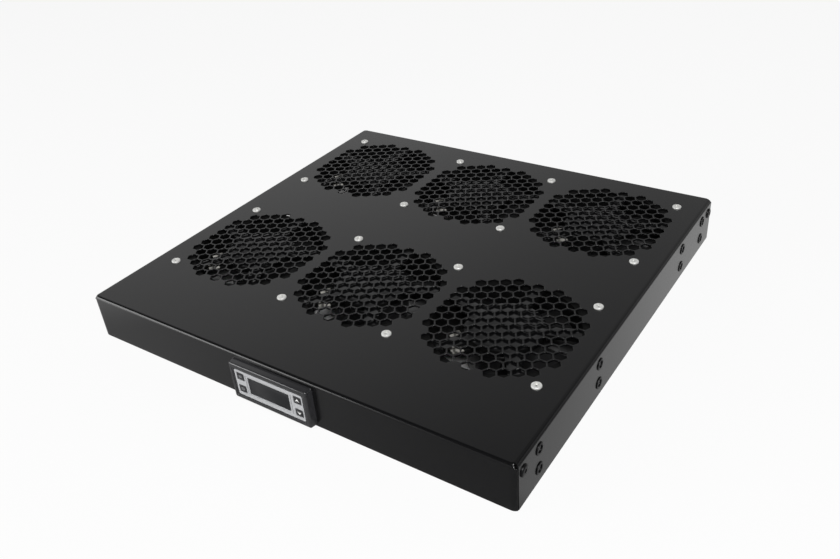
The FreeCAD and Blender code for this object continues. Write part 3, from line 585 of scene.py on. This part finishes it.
def hexagonal_perforation(tree, source):
    """Patch of cells: each is a web with rounded edges around its hexagonal opening."""
    plus, less, times, over = sums(tree)
    pitch, opening, rounding = source["Cell Pitch"], source["Opening"], source["Edge Rounding"]
    cell = add(tree, "GeometryNodeMeshCircle",
               {"Vertices": 6, "Radius": over(pitch, math.sqrt(3))}, fill_type="NGON")
    ratio, edge = over(opening, pitch), over(rounding, opening)
    wide, middle = plus(times(edge, 2.0), 1.0), plus(times(edge, 0.6), 1.0)
    fall, rest = times(rounding, -0.3), times(rounding, -0.7)
    straight = plus(times(rounding, 2.0), times(source["Sheet"], -1.0))
    shape = (cell.outputs[0], True)
    widths = [times(ratio, wide), over(middle, wide), over(1.0, middle), 1.0, middle,
              over(wide, middle), over(1.0, times(ratio, wide))]
    heights = [0.0, fall, rest, straight, rest, fall, 0.0]
    for height, factor in zip(heights, widths):
        shape = lift(tree, shape, height, factor)
    across = plus(times(source["Columns"], 2.0), 1.0)
    index = add(tree, "GeometryNodeInputIndex").outputs[0]
    column = less(sum_of(tree, "MODULO", index, across), source["Columns"])
    row = less(sum_of(tree, "FLOOR", over(index, across)), plus(source["Columns"], 1.0))
    odd = sum_of(tree, "MODULO", sum_of(tree, "ABSOLUTE", column), 2.0)
    place = add(tree, "ShaderNodeCombineXYZ",
                {"X": times(column, times(pitch, math.sqrt(0.75))),
                 "Y": times(plus(row, times(less(1.0, odd), 0.5)), pitch)})
    lattice = add(tree, "GeometryNodePoints",
                  {"Count": times(across, plus(across, 1.0)),
                   "Position": place.outputs[0]})
    away = add(tree, "ShaderNodeVectorMath",
               {0: add(tree, "GeometryNodeInputPosition").outputs[0]}, operation="LENGTH")
    near = add(tree, "FunctionNodeCompare",
               {0: away.outputs["Value"], 1: source["Patch Radius"]}, operation="LESS_THAN")
    cells = add(tree, "GeometryNodeInstanceOnPoints",
                {"Points": lattice.outputs[0], "Selection": near.outputs[0],
                 "Instance": opened(tree, shape)})
    return add(tree, "GeometryNodeInstanceOnPoints",
               {"Points": source["Geometry"], "Instance": cells.outputs[0]}).outputs[0]


def make_folded_tray():
    """The whole folded sheet, one surface from rim to rim with its perforated patches."""
    sizes = {"Cell Pitch": HEX_PITCH * MM, "Opening": HEX_OPENING * MM, "Sheet": SHEET * MM,
             "Edge Rounding": WEB_ROUNDING * MM, "Patch Radius": PATCH_RADIUS * MM,
             "Columns": HEX_COLUMNS}
    centres = [(x, y, TRAY_HEIGHT) for x, y in FAN_CENTRES]
    webs = grow("perforated_patches", centres, hexagonal_perforation, sizes, "sheet_coat")
    skin = folded_skin()
    bm = bmesh.new()
    bm.from_mesh(skin.data)
    bm.from_mesh(webs.data)
    weld(bm)
    bpy.data.objects.remove(webs)
    bpy.data.objects.remove(skin)
    tray = make_object("folded_tray", bm)
    round_corners(tray.data)
    all_smooth(tray.data)
    even = tray.modifiers.new("flats", "WEIGHTED_NORMAL")
    even.weight, even.keep_sharp = 100, False
    settle(tray)
    dress(tray, "sheet_coat", "tray", "top_plate", "front_wall", "rear_wall", "left_wall",
          "right_wall")


def dress(piece, slot, body, *nodes):
    """Finish, body and replaced CAD nodes of a new piece."""
    piece.data.materials.clear()
    piece.data.materials.append(FINISHES[slot])
    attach(piece, body)
    if nodes:
        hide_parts(*nodes)
    return piece


# Fasteners

def screw_places():
    """Screws of the middle fans at all corners, of the outer fans at their outer corners."""
    reach = FAN_HOLE_PITCH / 2
    columns = (FAN_COLUMNS[0] - reach, -reach, reach, FAN_COLUMNS[2] + reach)
    return [(x, y + side) for y in FAN_ROWS for side in (-reach, reach) for x in columns]


def outward(tree):
    """Turn that points a shape's top to the side of the tray on which its point lies."""
    place = add(tree, "ShaderNodeSeparateXYZ",
                {0: add(tree, "GeometryNodeInputPosition").outputs[0]})
    side = sum_of(tree, "SIGN", place.outputs["X"])
    turn = sum_of(tree, "MULTIPLY", side, math.pi / 2)
    return add(tree, "ShaderNodeCombineXYZ", {"Y": turn}).outputs[0]


def turned(tree, shape, start, profile):
    """Carries a shape on through a profile of radius and height, given as sockets."""
    _, less, _, over = sums(tree)
    radius, level = start
    for next_radius, next_level in profile:
        rise, factor = less(next_level, level), over(next_radius, radius)
        shape = lift(tree, shape, rise, factor)
        radius, level = next_radius, next_level
    return shape


def share(tree, whole, *parts):
    """Parts of a size, as sockets."""
    return [sum_of(tree, "MULTIPLY", whole, part) for part in parts]


def moved(tree, geometry, **change):
    """Geometry moved, turned or scaled."""
    return add(tree, "GeometryNodeTransform", {"Geometry": geometry, **change}).outputs[0]


def carved(tree, body, cutters):
    """Body without the space of its cutters."""
    node = add(tree, "GeometryNodeMeshBoolean", {"Mesh 1": body}, operation="DIFFERENCE")
    for cutter in cutters:
        tree.links.new(cutter, node.inputs["Mesh 2"])
    return node.outputs["Mesh"]


def upward(tree, distance):
    """Vector along Z."""
    return add(tree, "ShaderNodeCombineXYZ", {"Z": distance}).outputs[0]


def spread(tree, source, shape, rotation):
    """One shape on every point, smooth, with the sharper edges kept crisp."""
    angle = add(tree, "GeometryNodeInputMeshEdgeAngle").outputs[0]
    crisp = add(tree, "FunctionNodeCompare", {0: angle, 1: CRISP_ANGLE},
                operation="GREATER_THAN")
    faces = add(tree, "GeometryNodeSetShadeSmooth", {"Geometry": shape}, domain="FACE")
    edges = add(tree, "GeometryNodeSetShadeSmooth",
                {"Geometry": faces.outputs[0], "Selection": crisp.outputs[0],
                 "Shade Smooth": False}, domain="EDGE")
    return add(tree, "GeometryNodeInstanceOnPoints",
               {"Points": source["Geometry"], "Instance": edges.outputs[0],
                "Rotation": rotation}).outputs[0]


def screw_head(tree, source, disc_share, radii, levels):
    """Turned head: a disc up to a share of the height, then rounded off in shares of the
    radius and the height."""
    radius, height = source["Head Radius"], source["Head Height"]
    thick, base = share(tree, height, disc_share, disc_share / 2)
    disc = add(tree, "GeometryNodeMeshCylinder",
               {"Vertices": HEAD_SIDES, "Radius": radius, "Depth": thick})
    raised = moved(tree, disc.outputs["Mesh"], Translation=upward(tree, base))
    profile = zip(share(tree, radius, *radii), share(tree, height, *levels))
    return turned(tree, (raised, disc.outputs["Top"]), (radius, thick), profile)[0]


def with_shank(tree, source, head):
    """Head joined with its plain shank."""
    length = source["Shank Length"]
    shank = add(tree, "GeometryNodeMeshCylinder",
                {"Vertices": SHANK_SIDES, "Radius": source["Shank Radius"], "Depth": length})
    down = upward(tree, sum_of(tree, "MULTIPLY", length, -0.5))
    whole = add(tree, "GeometryNodeJoinGeometry", {"Geometry": head})
    tree.links.new(moved(tree, shank.outputs["Mesh"], Translation=down), whole.inputs[0])
    return whole.outputs[0]


def pan_head_screw(tree, source):
    """Pan-headed screw with a cross recess, each turned as it happened to be tightened."""
    head = screw_head(tree, source, 0.3, (0.99, 0.955, 0.88, 0.72, 0.4, 0.08),
                      (0.56, 0.77, 0.9, 0.96, 0.985, 1.0))
    size = add(tree, "ShaderNodeCombineXYZ",
               {"X": source["Recess Length"], "Y": source["Recess Width"],
                "Z": source["Recess Depth"]}).outputs[0]
    bar = add(tree, "GeometryNodeMeshCube", {"Size": size}).outputs["Mesh"]
    rise = upward(tree, source["Head Height"])
    arms = [moved(tree, bar, Translation=rise, Rotation=(0, 0, turn))
            for turn in (0.0, math.pi / 2)]
    whole = with_shank(tree, source, carved(tree, head, arms))
    turn = add(tree, "FunctionNodeRandomValue", {"Seed": source["Seed"]}, data_type="FLOAT")
    turn.inputs[3].default_value = math.pi
    return spread(tree, source, whole, upward(tree, turn.outputs[1]))


def threaded_insert(tree, source):
    """Threaded insert: chamfered flange, countersunk and threaded bore, open shank."""
    rim, flange = source["Flange Radius"], source["Flange"]
    bore, shank = source["Bore Radius"], source["Shank Radius"]
    disc = add(tree, "GeometryNodeMeshCircle", {"Vertices": INSERT_SIDES, "Radius": rim},
               fill_type="NGON")
    wide, narrow, mouth, throat = share(tree, rim, 0.985, 0.93, 0.68, 0.62)
    low, high, chamfer, seat, level = share(tree, flange, 0.55, 0.85, 0.6, -1.5, -1.7)
    profile = [(rim, low), (wide, high), (narrow, flange), (mouth, flange), (throat, chamfer),
               (throat, seat), (bore, level)]
    groove, = share(tree, bore, 1.13)
    step, = share(tree, source["Thread Pitch"], 0.5)
    for _ in range(THREAD_TURNS):
        for radius in (groove, bore):
            level = sum_of(tree, "SUBTRACT", level, step)
            profile.append((radius, level))
    end, = share(tree, source["Length"], -1.0)
    profile += [(bore, end), (shank, end), (shank, share(tree, flange, 0.01)[0]), (rim, 0.0)]
    shape = turned(tree, (disc.outputs[0], True), (rim, 0.0), profile)
    return spread(tree, source, opened(tree, shape), outward(tree))


def socket_screw(tree, source):
    """Low round-headed screw with a hexagonal socket."""
    head = screw_head(tree, source, 0.2, (0.99, 0.95, 0.88, 0.78, 0.4),
                      (0.42, 0.66, 0.86, 1.0, 1.0))
    socket = add(tree, "GeometryNodeMeshCylinder",
                 {"Vertices": 6, "Radius": source["Socket Radius"],
                  "Depth": source["Socket Depth"]}).outputs["Mesh"]
    rise = upward(tree, source["Head Height"])
    head = carved(tree, head, [moved(tree, socket, Translation=rise)])
    return spread(tree, source, with_shank(tree, source, head), outward(tree))


def make_fasteners():
    """Every screw and insert that shows on the tray."""
    side = TRAY_WIDTH / 2
    tops = [(x, y, TRAY_HEIGHT) for x, y in screw_places()]
    holes = [(x, FRONT + y, z) for x in (-side, side) for y in INSERT_PLACES for z in INSERT_ROWS]
    corners = [(x, y, CORNER_SCREW_HEIGHT) for x in (-side, side)
               for y in (FRONT + CORNER_SCREW_INSET, BACK - CORNER_SCREW_INSET)]
    for name, places, build, sizes, slot, node in (
            ("pan_screws", tops, pan_head_screw, SCREW, "zinc_steel", "fan_screws"),
            ("threaded_inserts", holes, threaded_insert, INSERT, "black_hardware",
             "side_inserts"),
            ("socket_screws", corners, socket_screw, CORNER_SCREW, "black_hardware",
             "corner_screws")):
        dress(grow(name, places, build, sizes, slot), slot, "tray", node)


# Fans

def lathe(bm, profile):
    """Turned shell from a profile of radius and height; a radius of zero closes it."""
    turns = [2 * math.pi * k / ROTOR_SIDES for k in range(ROTOR_SIDES)]
    rings = [[bm.verts.new(Vector((radius * math.cos(a), radius * math.sin(a), z)) * MM)
              for a in (turns if radius else turns[:1])] for radius, z in profile]
    for low, high in zip(rings, rings[1:]):
        for k in range(ROTOR_SIDES):
            loop = [low[k % len(low)], low[(k + 1) % len(low)],
                    high[(k + 1) % len(high)], high[k % len(high)]]
            bm.faces.new(list(dict.fromkeys(loop)))


def blade_point(along, reach, way):
    """Point of a blade: share of its chord, share of its reach, and which face."""
    def section(radius, chord, rise):
        arch = 4 * BLADE_CAMBER * along * (1 - along)
        return Vector((radius, (along - 0.5) * chord, BLADE_BOTTOM + along * rise + arch))

    root, tip = section(*BLADE_ROOT), section(*BLADE_TIP)
    step = tip.xy - root.xy
    a, b, c = step.dot(step), 2 * root.xy.dot(step), root.xy.dot(root.xy) - TIP_RADIUS ** 2
    end = (math.sqrt(b * b - 4 * a * c) - b) / (2 * a)
    thick = BLADE_THICKNESS * math.sqrt(max(0.0, 1 - abs(2 * along - 1) ** 6)) / 2
    point = root.lerp(tip, min(1.0, end) * reach)
    return point + Vector((0, 0, BLADE_THICKNESS / 2 + way * thick))


def add_blade(bm, angle):
    """One swept and arched blade with rounded leading and trailing edges."""
    turn = Matrix.Rotation(angle, 3, "Z")
    chord = [0.5 - 0.5 * math.cos(math.pi * k / CHORD_STEPS) for k in range(CHORD_STEPS + 1)]
    span = [k / SPAN_STEPS for k in range(SPAN_STEPS + 1)]
    faces = [[[turn @ blade_point(along, reach, way) for along in chord] for reach in span]
             for way in (1, -1)]
    for rows in faces:
        weave(bm, rows)
    weave(bm, [faces[0][-1], faces[1][-1]])


def make_rotor(number):
    """Rotor of one fan: hub with a rounded rim and five blades."""
    bm = bmesh.new()
    r, low, top = HUB_RADIUS, HUB_BOTTOM, HUB_TOP
    profile = [(0, low + 0.9), (7.2, low + 0.9), (7.8, low + 0.2), (8.2, low), (25.0, low),
               (27.4, low + 0.15), (29.0, low + 0.8), (29.8, low + 2.0), (r, low + 3.4),
               (r, top - 0.8), (29.4, top - 0.1), (28.8, top), (4.0, top),
               (4.0, SHAFT_TOP), (0, SHAFT_TOP)]
    lathe(bm, profile)
    for k in range(BLADE_COUNT):
        add_blade(bm, 2 * math.pi * k / BLADE_COUNT)
    weld(bm, 0.01)
    bmesh.ops.recalc_face_normals(bm, faces=bm.faces)
    cx, cy = FAN_CENTRES[number - 1]
    place = Matrix.Translation(Vector((cx, cy, FAN_BASE)) * MM)
    place = place @ Matrix.Rotation(math.radians(ROTOR_PHASES[number - 1]), 4, "Z")
    bmesh.ops.transform(bm, matrix=place, verts=bm.verts)
    piece = shade(make_object("fan_%d_impeller" % number, bm))
    dress(piece, "impeller_plastic", "fan_%d" % number, "fan_%d_rotor" % number)


def shade(piece, angle=32.0):
    """Smooth shading, with the sharper edges kept crisp."""
    piece.data.shade_smooth()
    piece.data.set_sharp_from_angle(angle=math.radians(angle))
    return piece


def rounded_copy(name, node, slot, width_mm):
    """Copy of a CAD node, welded, with rounded edges in place of its sharp ones."""
    bm = bmesh.new()
    bm.from_mesh(frame["nodes"][node].data)
    weld(bm, 0.002)
    bmesh.ops.dissolve_limit(bm, angle_limit=math.radians(1.0), verts=bm.verts, edges=bm.edges)
    return dress(soften(make_object(name, bm), width_mm, 30.0), slot, "tray", node)


def make_fans():
    """Housings with softened edges and their rotors."""
    for number in range(1, 7):
        housing = rounded_copy("fan_%d_housing" % number, "fan_%d_frame" % number,
                               "fan_housing", HOUSING_ROUNDING)
        housing.data.materials.append(BASE_GLOSS)
        for face in housing.data.polygons:
            if face.normal.z > 0.99 and abs(face.center.z - MOTOR_TOP * MM) < 0.1 * MM:
                face.material_index = 1
        make_rotor(number)


# Thermostat

def rounded_loop(width, height, corner, y, middle=(0.0, 0.0), steps=5):
    """Points of an upright rounded rectangle on the panel, in the plane at y."""
    points = []
    for index, (sx, sz) in enumerate(((1, 1), (-1, 1), (-1, -1), (1, -1))):
        for k in range(steps + 1):
            a = math.pi / 2 * (index + k / steps)
            points.append((middle[0] + sx * (width / 2 - corner) + corner * math.cos(a), y,
                           PANEL_HEIGHT + middle[1] + sz * (height / 2 - corner)
                           + corner * math.sin(a)))
    return points


def shell(name, loops, angle=32.0):
    """Closed object through loops of equal length."""
    bm = bmesh.new()
    weave(bm, [loop + loop[:1] for loop in loops])
    weld(bm, 0.001)
    for loop in (loops[0], loops[-1]):
        ring = [min(bm.verts, key=lambda vert: (vert.co - Vector(point) * MM).length_squared)
                for point in loop]
        bm.faces.new(list(dict.fromkeys(ring)))
    bmesh.ops.recalc_face_normals(bm, faces=bm.faces)
    return shade(make_object(name, bm), angle)


def opening_loop(wider, corner, y):
    """Loop around the overlay, wider than it by a given amount."""
    return rounded_loop(OVERLAY_WIDTH + wider, OVERLAY_HEIGHT + wider, corner, y, OVERLAY_PLACE)


def make_bezel():
    """Moulded bezel: sloping sides, rounded front edge, and a stepped frame and a
    groove around the overlay."""
    # Narrower and lower than the foot by, corner, depth behind the front face
    sides = ((0.0, 0.0, 2.0, BEZEL_DEPTH), (0.1, 0.05, 2.0, BEZEL_DEPTH - 0.4),
             (1.6, 0.9, 1.5, 1.7), (1.8, 1.15, 1.4, 0.95), (2.1, 1.5, 1.4, 0.52),
             (2.4, 1.9, 1.3, 0.34), (3.3, 3.2, 1.2, 0.05), (3.7, 3.9, 1.1, 0.0))
    # Wider than the overlay by, corner, depth behind the front face
    steps = ((3.8, 1.1, 0.0), (3.2, 1.2, 0.15), (3.0, 1.2, 0.5), (1.4, 1.1, 0.55),
             (1.1, 1.1, 0.8), (1.1, 1.1, 1.4), (0.1, 1.0, 1.45),
             (0.1, 1.0, OVERLAY_BACK - PANEL_FRONT))
    loops = [rounded_loop(BEZEL_WIDTH - narrower, BEZEL_HEIGHT - lower, corner,
                          PANEL_FRONT + depth) for narrower, lower, corner, depth in sides]
    loops += [opening_loop(wider, corner, PANEL_FRONT + depth) for wider, corner, depth in steps]
    dress(shell("thermostat_bezel", loops), "bezel_plastic", "tray", "panel_bezel")


def plate_with_openings(name, outer, openings, front, back):
    """Flat plate between two planes with rounded openings through it."""
    bm = bmesh.new()
    edges = []
    for loop in [outer] + openings:
        made = [bm.verts.new(Vector(point) * MM) for point in loop]
        edges += [bm.edges.new((a, b)) for a, b in zip(made, made[1:] + made[:1])]
    bmesh.ops.triangle_fill(bm, use_beauty=True, edges=edges, normal=(0, -1, 0))
    bmesh.ops.recalc_face_normals(bm, faces=bm.faces)
    if bm.faces[:][0].normal.y > 0:
        bmesh.ops.reverse_faces(bm, faces=bm.faces)
    return shade(thicken(make_object(name, bm), back - front))


def key_loop(centre, wider, corner, y):
    """Loop around one key's place, wider than the key by a given amount."""
    return rounded_loop(KEY_WIDTH + wider, KEY_HEIGHT + wider, corner, y, centre, 3)


def printed(name, outer, openings, tone):
    """Thin print on the overlay, in one ink."""
    piece = plate_with_openings(name, outer, openings, PRINT_FRONT, OVERLAY_FRONT)
    dress(piece, "overlay_film", "tray").data.materials[0] = PRINTS[tone]


def make_overlay():
    """Printed overlay, open for the window and the keys, with its printed frames."""
    front = OVERLAY_FRONT
    openings = [rounded_loop(WINDOW_WIDTH, WINDOW_HEIGHT, 0.5, front, WINDOW_PLACE, 3)]
    openings += [key_loop(centre, 0.4, 0.7, front) for centre in KEY_PLACES.values()]
    plate = plate_with_openings("thermostat_overlay", opening_loop(0.0, 1.0, front),
                                openings, front, OVERLAY_BACK)
    dress(plate, "overlay_film", "tray", "panel_overlay")
    front = PRINT_FRONT
    printed("printed_window_frame",
            rounded_loop(PRINT_WIDTH, PRINT_HEIGHT, 0.8, front, WINDOW_PLACE),
            [rounded_loop(WINDOW_WIDTH + 0.5, WINDOW_HEIGHT + 0.5, 0.6, front, WINDOW_PLACE)],
            "pale")
    for name, centre in KEY_PLACES.items():
        printed("printed_%s_outline" % name, key_loop(centre, 1.3, 1.0, front),
                [key_loop(centre, 0.5, 0.75, front)], "dark")
    for side, name in ((-1, "left"), (1, "right")):
        middle = (WINDOW_PLACE[0] + side * (PRINT_WIDTH / 2 + 0.9), WINDOW_PLACE[1])
        printed("printed_line_" + name,
                rounded_loop(0.35, PRINT_HEIGHT, 0.12, front, middle, 2), [], "dark")


def make_window():
    """Smoked window, slightly sunk, with soft edges."""
    front = OVERLAY_FRONT + 0.3
    w, h = WINDOW_WIDTH, WINDOW_HEIGHT
    loops = [rounded_loop(w, h, 0.5, OVERLAY_BACK, WINDOW_PLACE, 3),
             rounded_loop(w, h, 0.5, front + 0.15, WINDOW_PLACE, 3),
             rounded_loop(w - 0.3, h - 0.3, 0.45, front, WINDOW_PLACE, 3)]
    dress(shell("thermostat_window", loops, angle=60), "window_plastic", "tray", "panel_window")


def make_keys():
    """Moulded key caps with a soft dome, a flange behind the overlay and a plain glyph."""
    back, tip = OVERLAY_BACK, OVERLAY_FRONT - KEY_PROUD
    # Wider than the key by, corner, plane
    steps = ((1.8, 1.2, back + KEY_FLANGE), (1.8, 1.2, back), (0.0, 0.6, back),
             (0.0, 0.6, tip + 0.3), (-0.25, 0.6, tip + 0.12), (-0.8, 0.55, tip + 0.02),
             (-2.4, 0.5, tip))
    for name, centre in KEY_PLACES.items():
        cap = shell(name + "_cap_moulded", [key_loop(centre, *step) for step in steps], 50)
        dress(cap, "key_plastic", name + "_cap", name)
        bm = bmesh.new()
        for points in KEY_GLYPHS[name]:
            bm.faces.new([bm.verts.new(Vector((centre[0] + x, tip - 0.02,
                                               PANEL_HEIGHT + centre[1] + z)) * MM)
                          for x, z in points])
        bmesh.ops.recalc_face_normals(bm, faces=bm.faces)
        for face in bm.faces:
            if face.normal.y > 0:
                face.normal_flip()
        glyph = thicken(make_object(name + "_glyph", bm), INK)
        tone = "grey" if centre[0] < 0 else "white"
        dress(glyph, "key_plastic", name + "_cap").data.materials[0] = PRINTS[tone]


# Stage, light and camera

def ramp(tree, value, low, high, start, end, kind="SMOOTHSTEP"):
    """Level that goes from start to end as a value goes from low to high."""
    return add(tree, "ShaderNodeMapRange", {"Value": value, "From Min": low, "From Max": high,
                                            "To Min": start, "To Max": end},
               interpolation_type=kind).outputs[0]


def white(tree, kind, strength=1.0):
    """White light of a given strength."""
    return add(tree, kind, {"Color": (1, 1, 1, 1), "Strength": strength}).outputs[0]


def mixed(tree, part, first, second):
    """First shader, with the second one in its place for a part."""
    return add(tree, "ShaderNodeMixShader", {0: part, 1: first, 2: second}).outputs[0]


def painted_floor_in_gloss(tree, axes):
    """Painted light and shade of the floor as glossy surfaces see it, by place in metres:
    painted shade of the tray near its front right corner, and painted light away from it.
    """
    plus, less, times, _ = sums(tree)
    near, left, beside, back = PAINTED_FLOOR_LEVELS
    x, y = axes.outputs["X"], axes.outputs["Y"]
    # Painted shade of the tray, darkest near its front right corner, turning to painted light
    # along the front to the left
    level = ramp(tree, x, -FLOOR_SPAN, FLOOR_SPAN, near + left, near)
    # Limits of the strip of painted light beside the right wall, and of the painted gains to the
    # back
    strip = less(ramp(tree, x, 0.185, 0.2, 0.0, beside),
                 ramp(tree, x, 0.215, 0.265, 0.0, 0.9 * beside))
    strip = times(strip, ramp(tree, y, -0.2, -0.17, 0.0, 1.0))
    level = plus(plus(level, strip), ramp(tree, y, -0.19, 0.19, 0.0, back))
    # A painted pool of light beside the front left corner
    (px, py), far, full, strength = PAINTED_LIGHT_POOL
    across, along = less(x, px), less(y, py)
    away = sum_of(tree, "SQRT", plus(times(across, across), times(along, along)))
    return plus(level, ramp(tree, away, full, far, strength, 0.0))


def paper():
    """White paper sweep: diffuse, but white to the camera and, to glossy surfaces, a glow of
    painted light and shade, except right under the tray, where it stays in the tray's real shade."""
    material, tree, shader = surface("paper_sweep_white", "#f2f2f2", 0.7)
    out = [n for n in tree.nodes if n.type == "OUTPUT_MATERIAL"][0]
    plain = white(tree, "ShaderNodeEmission")
    path = add(tree, "ShaderNodeLightPath").outputs
    axes = add(tree, "ShaderNodeSeparateXYZ",
               {0: add(tree, "ShaderNodeTexCoord").outputs["Object"]})
    # Glow of the floor seen by glossy rays: painted light and shade, by place
    pale = white(tree, "ShaderNodeEmission", painted_floor_in_gloss(tree, axes))
    times = sums(tree)[2]
    outside = sum_of(tree, "MAXIMUM", *[
        sum_of(tree, "GREATER_THAN", sum_of(tree, "ABSOLUTE", axes.outputs[axis]),
               (size / 2 - SHADE_INSET) * MM)
        for axis, size in (("X", TRAY_WIDTH), ("Y", TRAY_DEPTH))])
    seen = times(outside, times(path["Is Camera Ray"], 0.9))
    gloss = times(outside, path["Is Glossy Ray"])
    mix = mixed(tree, gloss, mixed(tree, seen, shader.outputs[0], plain), pale)
    tree.links.new(mix, out.inputs["Surface"])
    return material


def studio_light(tree, way):
    """Brightness of the studio by direction."""
    plus, less, times, _ = sums(tree)
    axes = add(tree, "ShaderNodeSeparateXYZ", {0: way}).outputs
    part = 1.0
    for axis, limits, start, end in (("Z", PANEL_TOP, 1.0, 0.0), ("Y", PANEL_BACK, 0.0, 1.0),
                                     ("X", PANEL_RIGHT, 1.0, 0.0)):
        part = times(part, ramp(tree, axes[axis], *limits, start, end))
    room = ramp(tree, axes["Z"], *HORIZON)
    panel = ramp(tree, axes["Z"], 0.2, 0.7, *PANEL_LEVELS, kind="LINEAR")
    level = plus(room, times(part, less(panel, room)))
    toward, start, full, strength = LEFT_PATCH
    near = add(tree, "ShaderNodeVectorMath", {0: way, 1: Vector(toward).normalized()},
               operation="DOT_PRODUCT").outputs["Value"]
    return plus(level, ramp(tree, near, start, full, 0.0, strength))


def studio():
    """Pale floor, and a world with soft panels, which is white to the camera."""
    mesh = bpy.data.meshes.new("floor")
    mesh.from_pydata([(-6, -6, 0), (6, -6, 0), (6, 6, 0), (-6, 6, 0)], [], [(0, 1, 2, 3)])
    mesh.materials.append(paper())
    put("floor", mesh)

    world = bpy.data.worlds.new("studio")
    world.use_nodes = True
    bpy.context.scene.world = world
    tree = world.node_tree
    tree.nodes.clear()
    level = studio_light(tree, add(tree, "ShaderNodeTexCoord").outputs["Generated"])
    around = white(tree, "ShaderNodeBackground", level)
    clear = white(tree, "ShaderNodeBackground")
    camera_ray = add(tree, "ShaderNodeLightPath").outputs["Is Camera Ray"]
    add(tree, "ShaderNodeOutputWorld", {"Surface": mixed(tree, camera_ray, around, clear)})


def lamps():
    """Square soft lamps, each facing a point."""
    for name, (place, aim, size, power) in LAMPS.items():
        data = bpy.data.lights.new(name, "AREA")
        data.shape, data.energy = "RECTANGLE", power
        data.size, data.size_y = size
        light = put(name, data)
        light.location = place
        light.rotation_mode = "QUATERNION"
        light.rotation_quaternion = (Vector(aim) - Vector(place)).to_track_quat("-Z", "Y")


def camera():
    """Camera at the photograph's place, turned by azimuth, elevation and roll."""
    a, e, r = (math.radians(v) for v in (CAMERA_AZIMUTH, CAMERA_ELEVATION, CAMERA_ROLL))
    ahead = Vector((-math.sin(a) * math.cos(e), math.cos(a) * math.cos(e), -math.sin(e)))
    right = ahead.cross(Vector((0, 0, 1))).normalized()
    down = ahead.cross(right)
    across = math.cos(r) * right + math.sin(r) * down
    below = math.cos(r) * down - math.sin(r) * right
    turn = Matrix((across, -below, -ahead)).transposed()
    data = bpy.data.cameras.new("camera")
    data.sensor_width = SENSOR
    data.lens = SENSOR * FOCAL_PIXELS / IMAGE_WIDTH
    data.clip_start, data.clip_end = 0.01, 20
    eye = put("camera", data)
    eye.matrix_world = Matrix.Translation(Vector(CAMERA_PLACE) * MM) @ turn.to_4x4()
    bpy.context.scene.camera = eye


dress_frame()
make_folded_tray()
make_fasteners()
make_fans()
make_bezel()
make_overlay()
make_window()
make_keys()
for settings in COPIES:
    rounded_copy(*settings)
studio()
lamps()
camera()
bpy.context.scene.view_settings.view_transform = "Standard"
